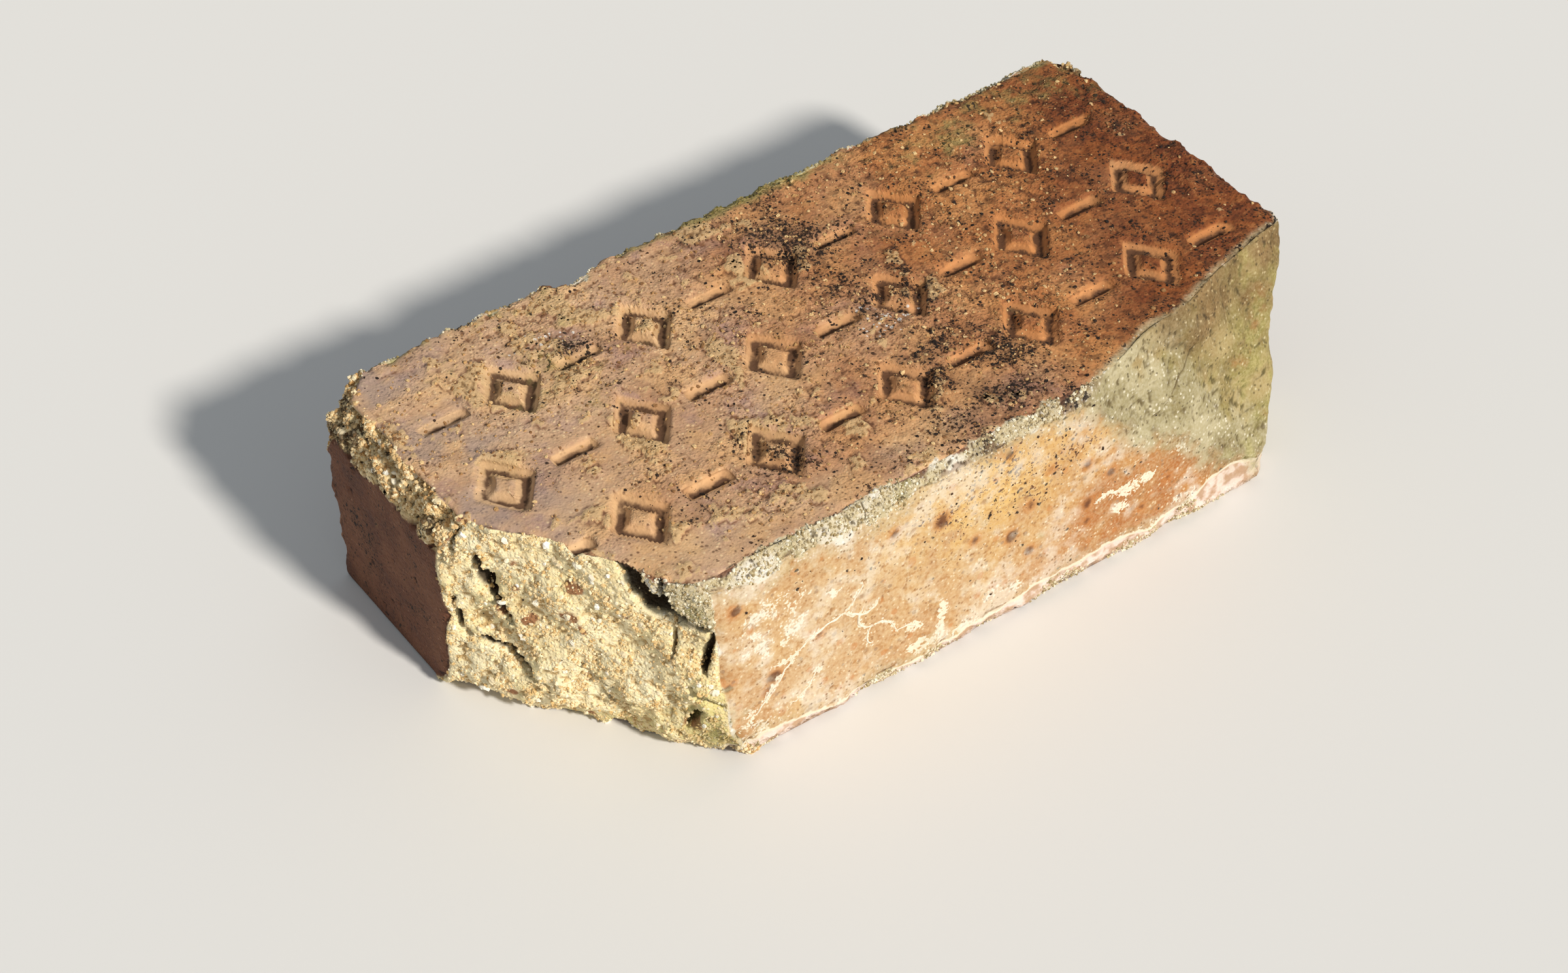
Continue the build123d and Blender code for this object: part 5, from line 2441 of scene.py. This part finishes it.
@dataclass(frozen=True)
class Studio:
    """The camera at the photograph's place, one soft key light, a pale sky and a pale floor."""

    eye: Point = (-338.556 * MM, -477.814 * MM, 559.327 * MM)
    right: Point = (0.81505, -0.57875, -0.0271)
    down: Point = (-0.41282, -0.54728, -0.72805)
    forward: Point = (0.40653, 0.60459, -0.68498)
    lens: float = 72.228
    to_key: Point = (0.14, -0.84, 0.6)
    key_strength: float = 3.8
    key_spread: float = 6.0
    key_colour: Point = (1.0, 0.955, 0.89)
    sky_colour: Colour = (0.86, 0.93, 1.0, 1.0)
    sky_strength: float = 0.36
    floor_reach: float = 4.0
    floor_colour: Colour = srgb(226, 224, 220)

    def camera(self) -> None:
        """Set the camera up from its three directions."""
        made = bpy.data.objects.new("camera", bpy.data.cameras.new("camera"))
        bpy.context.scene.collection.objects.link(made)
        columns = [Vector(self.right), -Vector(self.down), -Vector(self.forward), Vector(self.eye)]
        made.matrix_world = Matrix([[*row] for row in zip(*columns)]).to_4x4()
        made.data.lens = self.lens
        made.data.clip_start = 0.01
        bpy.context.scene.camera = made

    def key(self) -> None:
        """A wide sun from the front, a little above."""
        lamp = bpy.data.lights.new("key", "SUN")
        lamp.energy = self.key_strength
        lamp.angle = math.radians(self.key_spread)
        lamp.color = self.key_colour
        made = bpy.data.objects.new("key", lamp)
        bpy.context.scene.collection.objects.link(made)
        made.rotation_euler = Vector(self.to_key).to_track_quat("Z", "Y").to_euler()

    def sky(self) -> None:
        """An even pale sky that fills the shadows."""
        world = bpy.data.worlds.new("sky")
        world.use_nodes = True
        ground = world.node_tree.nodes["Background"]
        ground.inputs["Color"].default_value = self.sky_colour
        ground.inputs["Strength"].default_value = self.sky_strength
        bpy.context.scene.world = world

    def floor(self) -> bpy.types.Object:
        """A flat pale floor under the brick.

        Returns:
            The floor's mesh object.
        """
        corners = self.floor_reach * np.array([[-1, -1, 0], [1, -1, 0], [1, 1, 0], [-1, 1, 0]])
        made = make_mesh("floor", corners, [np.array([[0, 1, 2, 3]])], False)
        material, graph = new_material("pale_floor")
        shader = graph.add("ShaderNodeBsdfPrincipled", {"Base Color": self.floor_colour, "Roughness": 0.9})
        graph.add("ShaderNodeOutputMaterial", {"Surface": shader.outputs["BSDF"]})
        made.data.materials.append(material)
        return made

    def build(self) -> None:
        """Set up the whole studio."""
        bpy.context.scene.view_settings.view_transform = "Standard"
        self.camera()
        self.key()
        self.sky()
        self.floor()


@dataclass
class ClayBrick:
    """The dressed brick: its skin, the grains that stand out of it, and the lime veins."""

    form: BrickForm
    groups: Groups

    def dress(self, made: bpy.types.Object, material: bpy.types.Material) -> None:
        """Give a piece its finish, and fix it to the brick.

        Args:
            made: the piece's mesh object.
            material: its finish.
        """
        made.data.materials.append(material)
        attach(made, "root")
        log.info("%s: %d faces", made.name, len(made.data.polygons))

    def build(self) -> None:
        """Build and dress every piece, the skin first."""
        relief = SkinRelief(self.form)
        veins = LimeVeins(self.form, relief)
        skin = BrickSkin(self.form, relief, Deposits(self.form), veins)
        body = skin.build()
        self.dress(body, FiredClay().build(self.groups))
        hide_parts("brick")
        self.dress(veins.build(), PlainMatt("lime").build(self.groups))
        self.scatter(skin)

    def scatter(self, skin: BrickSkin) -> None:
        """Seat every kind of grain on the skin.

        Args:
            skin: the finished skin.
        """
        finishes = {grit: grit.value.build(self.groups) for grit in Grit}
        fields = skin.fields
        soot, rough, sunk, hollow = (fields[name] for name in ("soot", "rough", "sunk", "wide_hollow"))
        inside = {name: np.clip(fields[name.value] / 0.6, 0.0, 1.0) for name in Surface}
        on_chip = inside[Surface.CHIPPED]
        gathered = skin.deposits.gathered(skin.points)
        standing = np.clip(1.0 - 1.2 * hollow, 0.05, 1.4)
        proud = np.clip(1.1 - 2.2 * hollow, 0.02, 1.5)
        on_break = inside[Surface.BROKEN] * np.clip(1.0 - fields["cut"] / 1.5, 0.0, 1.0)
        lips = hill(sunk, 0.12, 0.14) * rough * inside[Surface.BED]
        on_bed = inside[Surface.BED] * (0.5 * rough + fields["crust"]) * (1.0 - 0.85 * sunk)
        on_bed = (on_bed + 0.5 * lips) * (1.0 - 0.85 * fields["deep"])
        upward = inside[Surface.BED] + 0.12 * inside[Surface.FRONT]
        sooty = upward * (soot ** 2 * gathered + 0.3 * soot * lips)
        large = Lump(3, 6)
        for weight, grit, scatter in (
            (on_break * standing * (0.2 + 1.4 * gathered), Grit.CREAM,
             LumpScatter("break_grit", 5, 5600, 0.3 * MM, 1.2 * MM, 0.45)),
            (on_break, Grit.GROG,
             LumpScatter("break_grog", 6, 110, 0.8 * MM, 2.6 * MM, 0.4, 0.3, 0.6, large)),
            (on_chip * proud, Grit.BUFF, LumpScatter("chip_grit", 7, 4800, 0.35 * MM, 1.5 * MM, 0.35)),
            (on_chip, Grit.GROG,
             LumpScatter("chip_grog", 8, 36, 0.8 * MM, 2.4 * MM, 0.35, 0.3, 0.7, large)),
            (inside[Surface.WORN] * standing, Grit.WEATHERED,
             LumpScatter("arris_grit", 9, 4500, 0.3 * MM, 1.0 * MM, 0.4)),
            (on_bed, Grit.RED, LumpScatter("bed_grit", 10, 5500, 0.3 * MM, 1.2 * MM, 0.35, 0.3, 0.7)),
            (sooty, Grit.SOOT, LumpScatter("soot_crumbs", 12, 6000, 0.25 * MM, 0.95 * MM, 0.3, 0.35, 0.6)),
        ):
            self.dress(scatter.build(skin, weight), finishes[grit])


def main() -> None:
    """Build the brick and the studio round it, and note the sizes."""
    logging.basicConfig(level=logging.INFO, format="%(name)s: %(message)s")
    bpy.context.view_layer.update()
    _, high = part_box("brick")
    form = BrickForm(half_length=high.x, half_width=high.y, height=high.z)
    ClayBrick(form, Groups.build()).build()
    Studio().build()


if __name__ == "__main__":
    main()
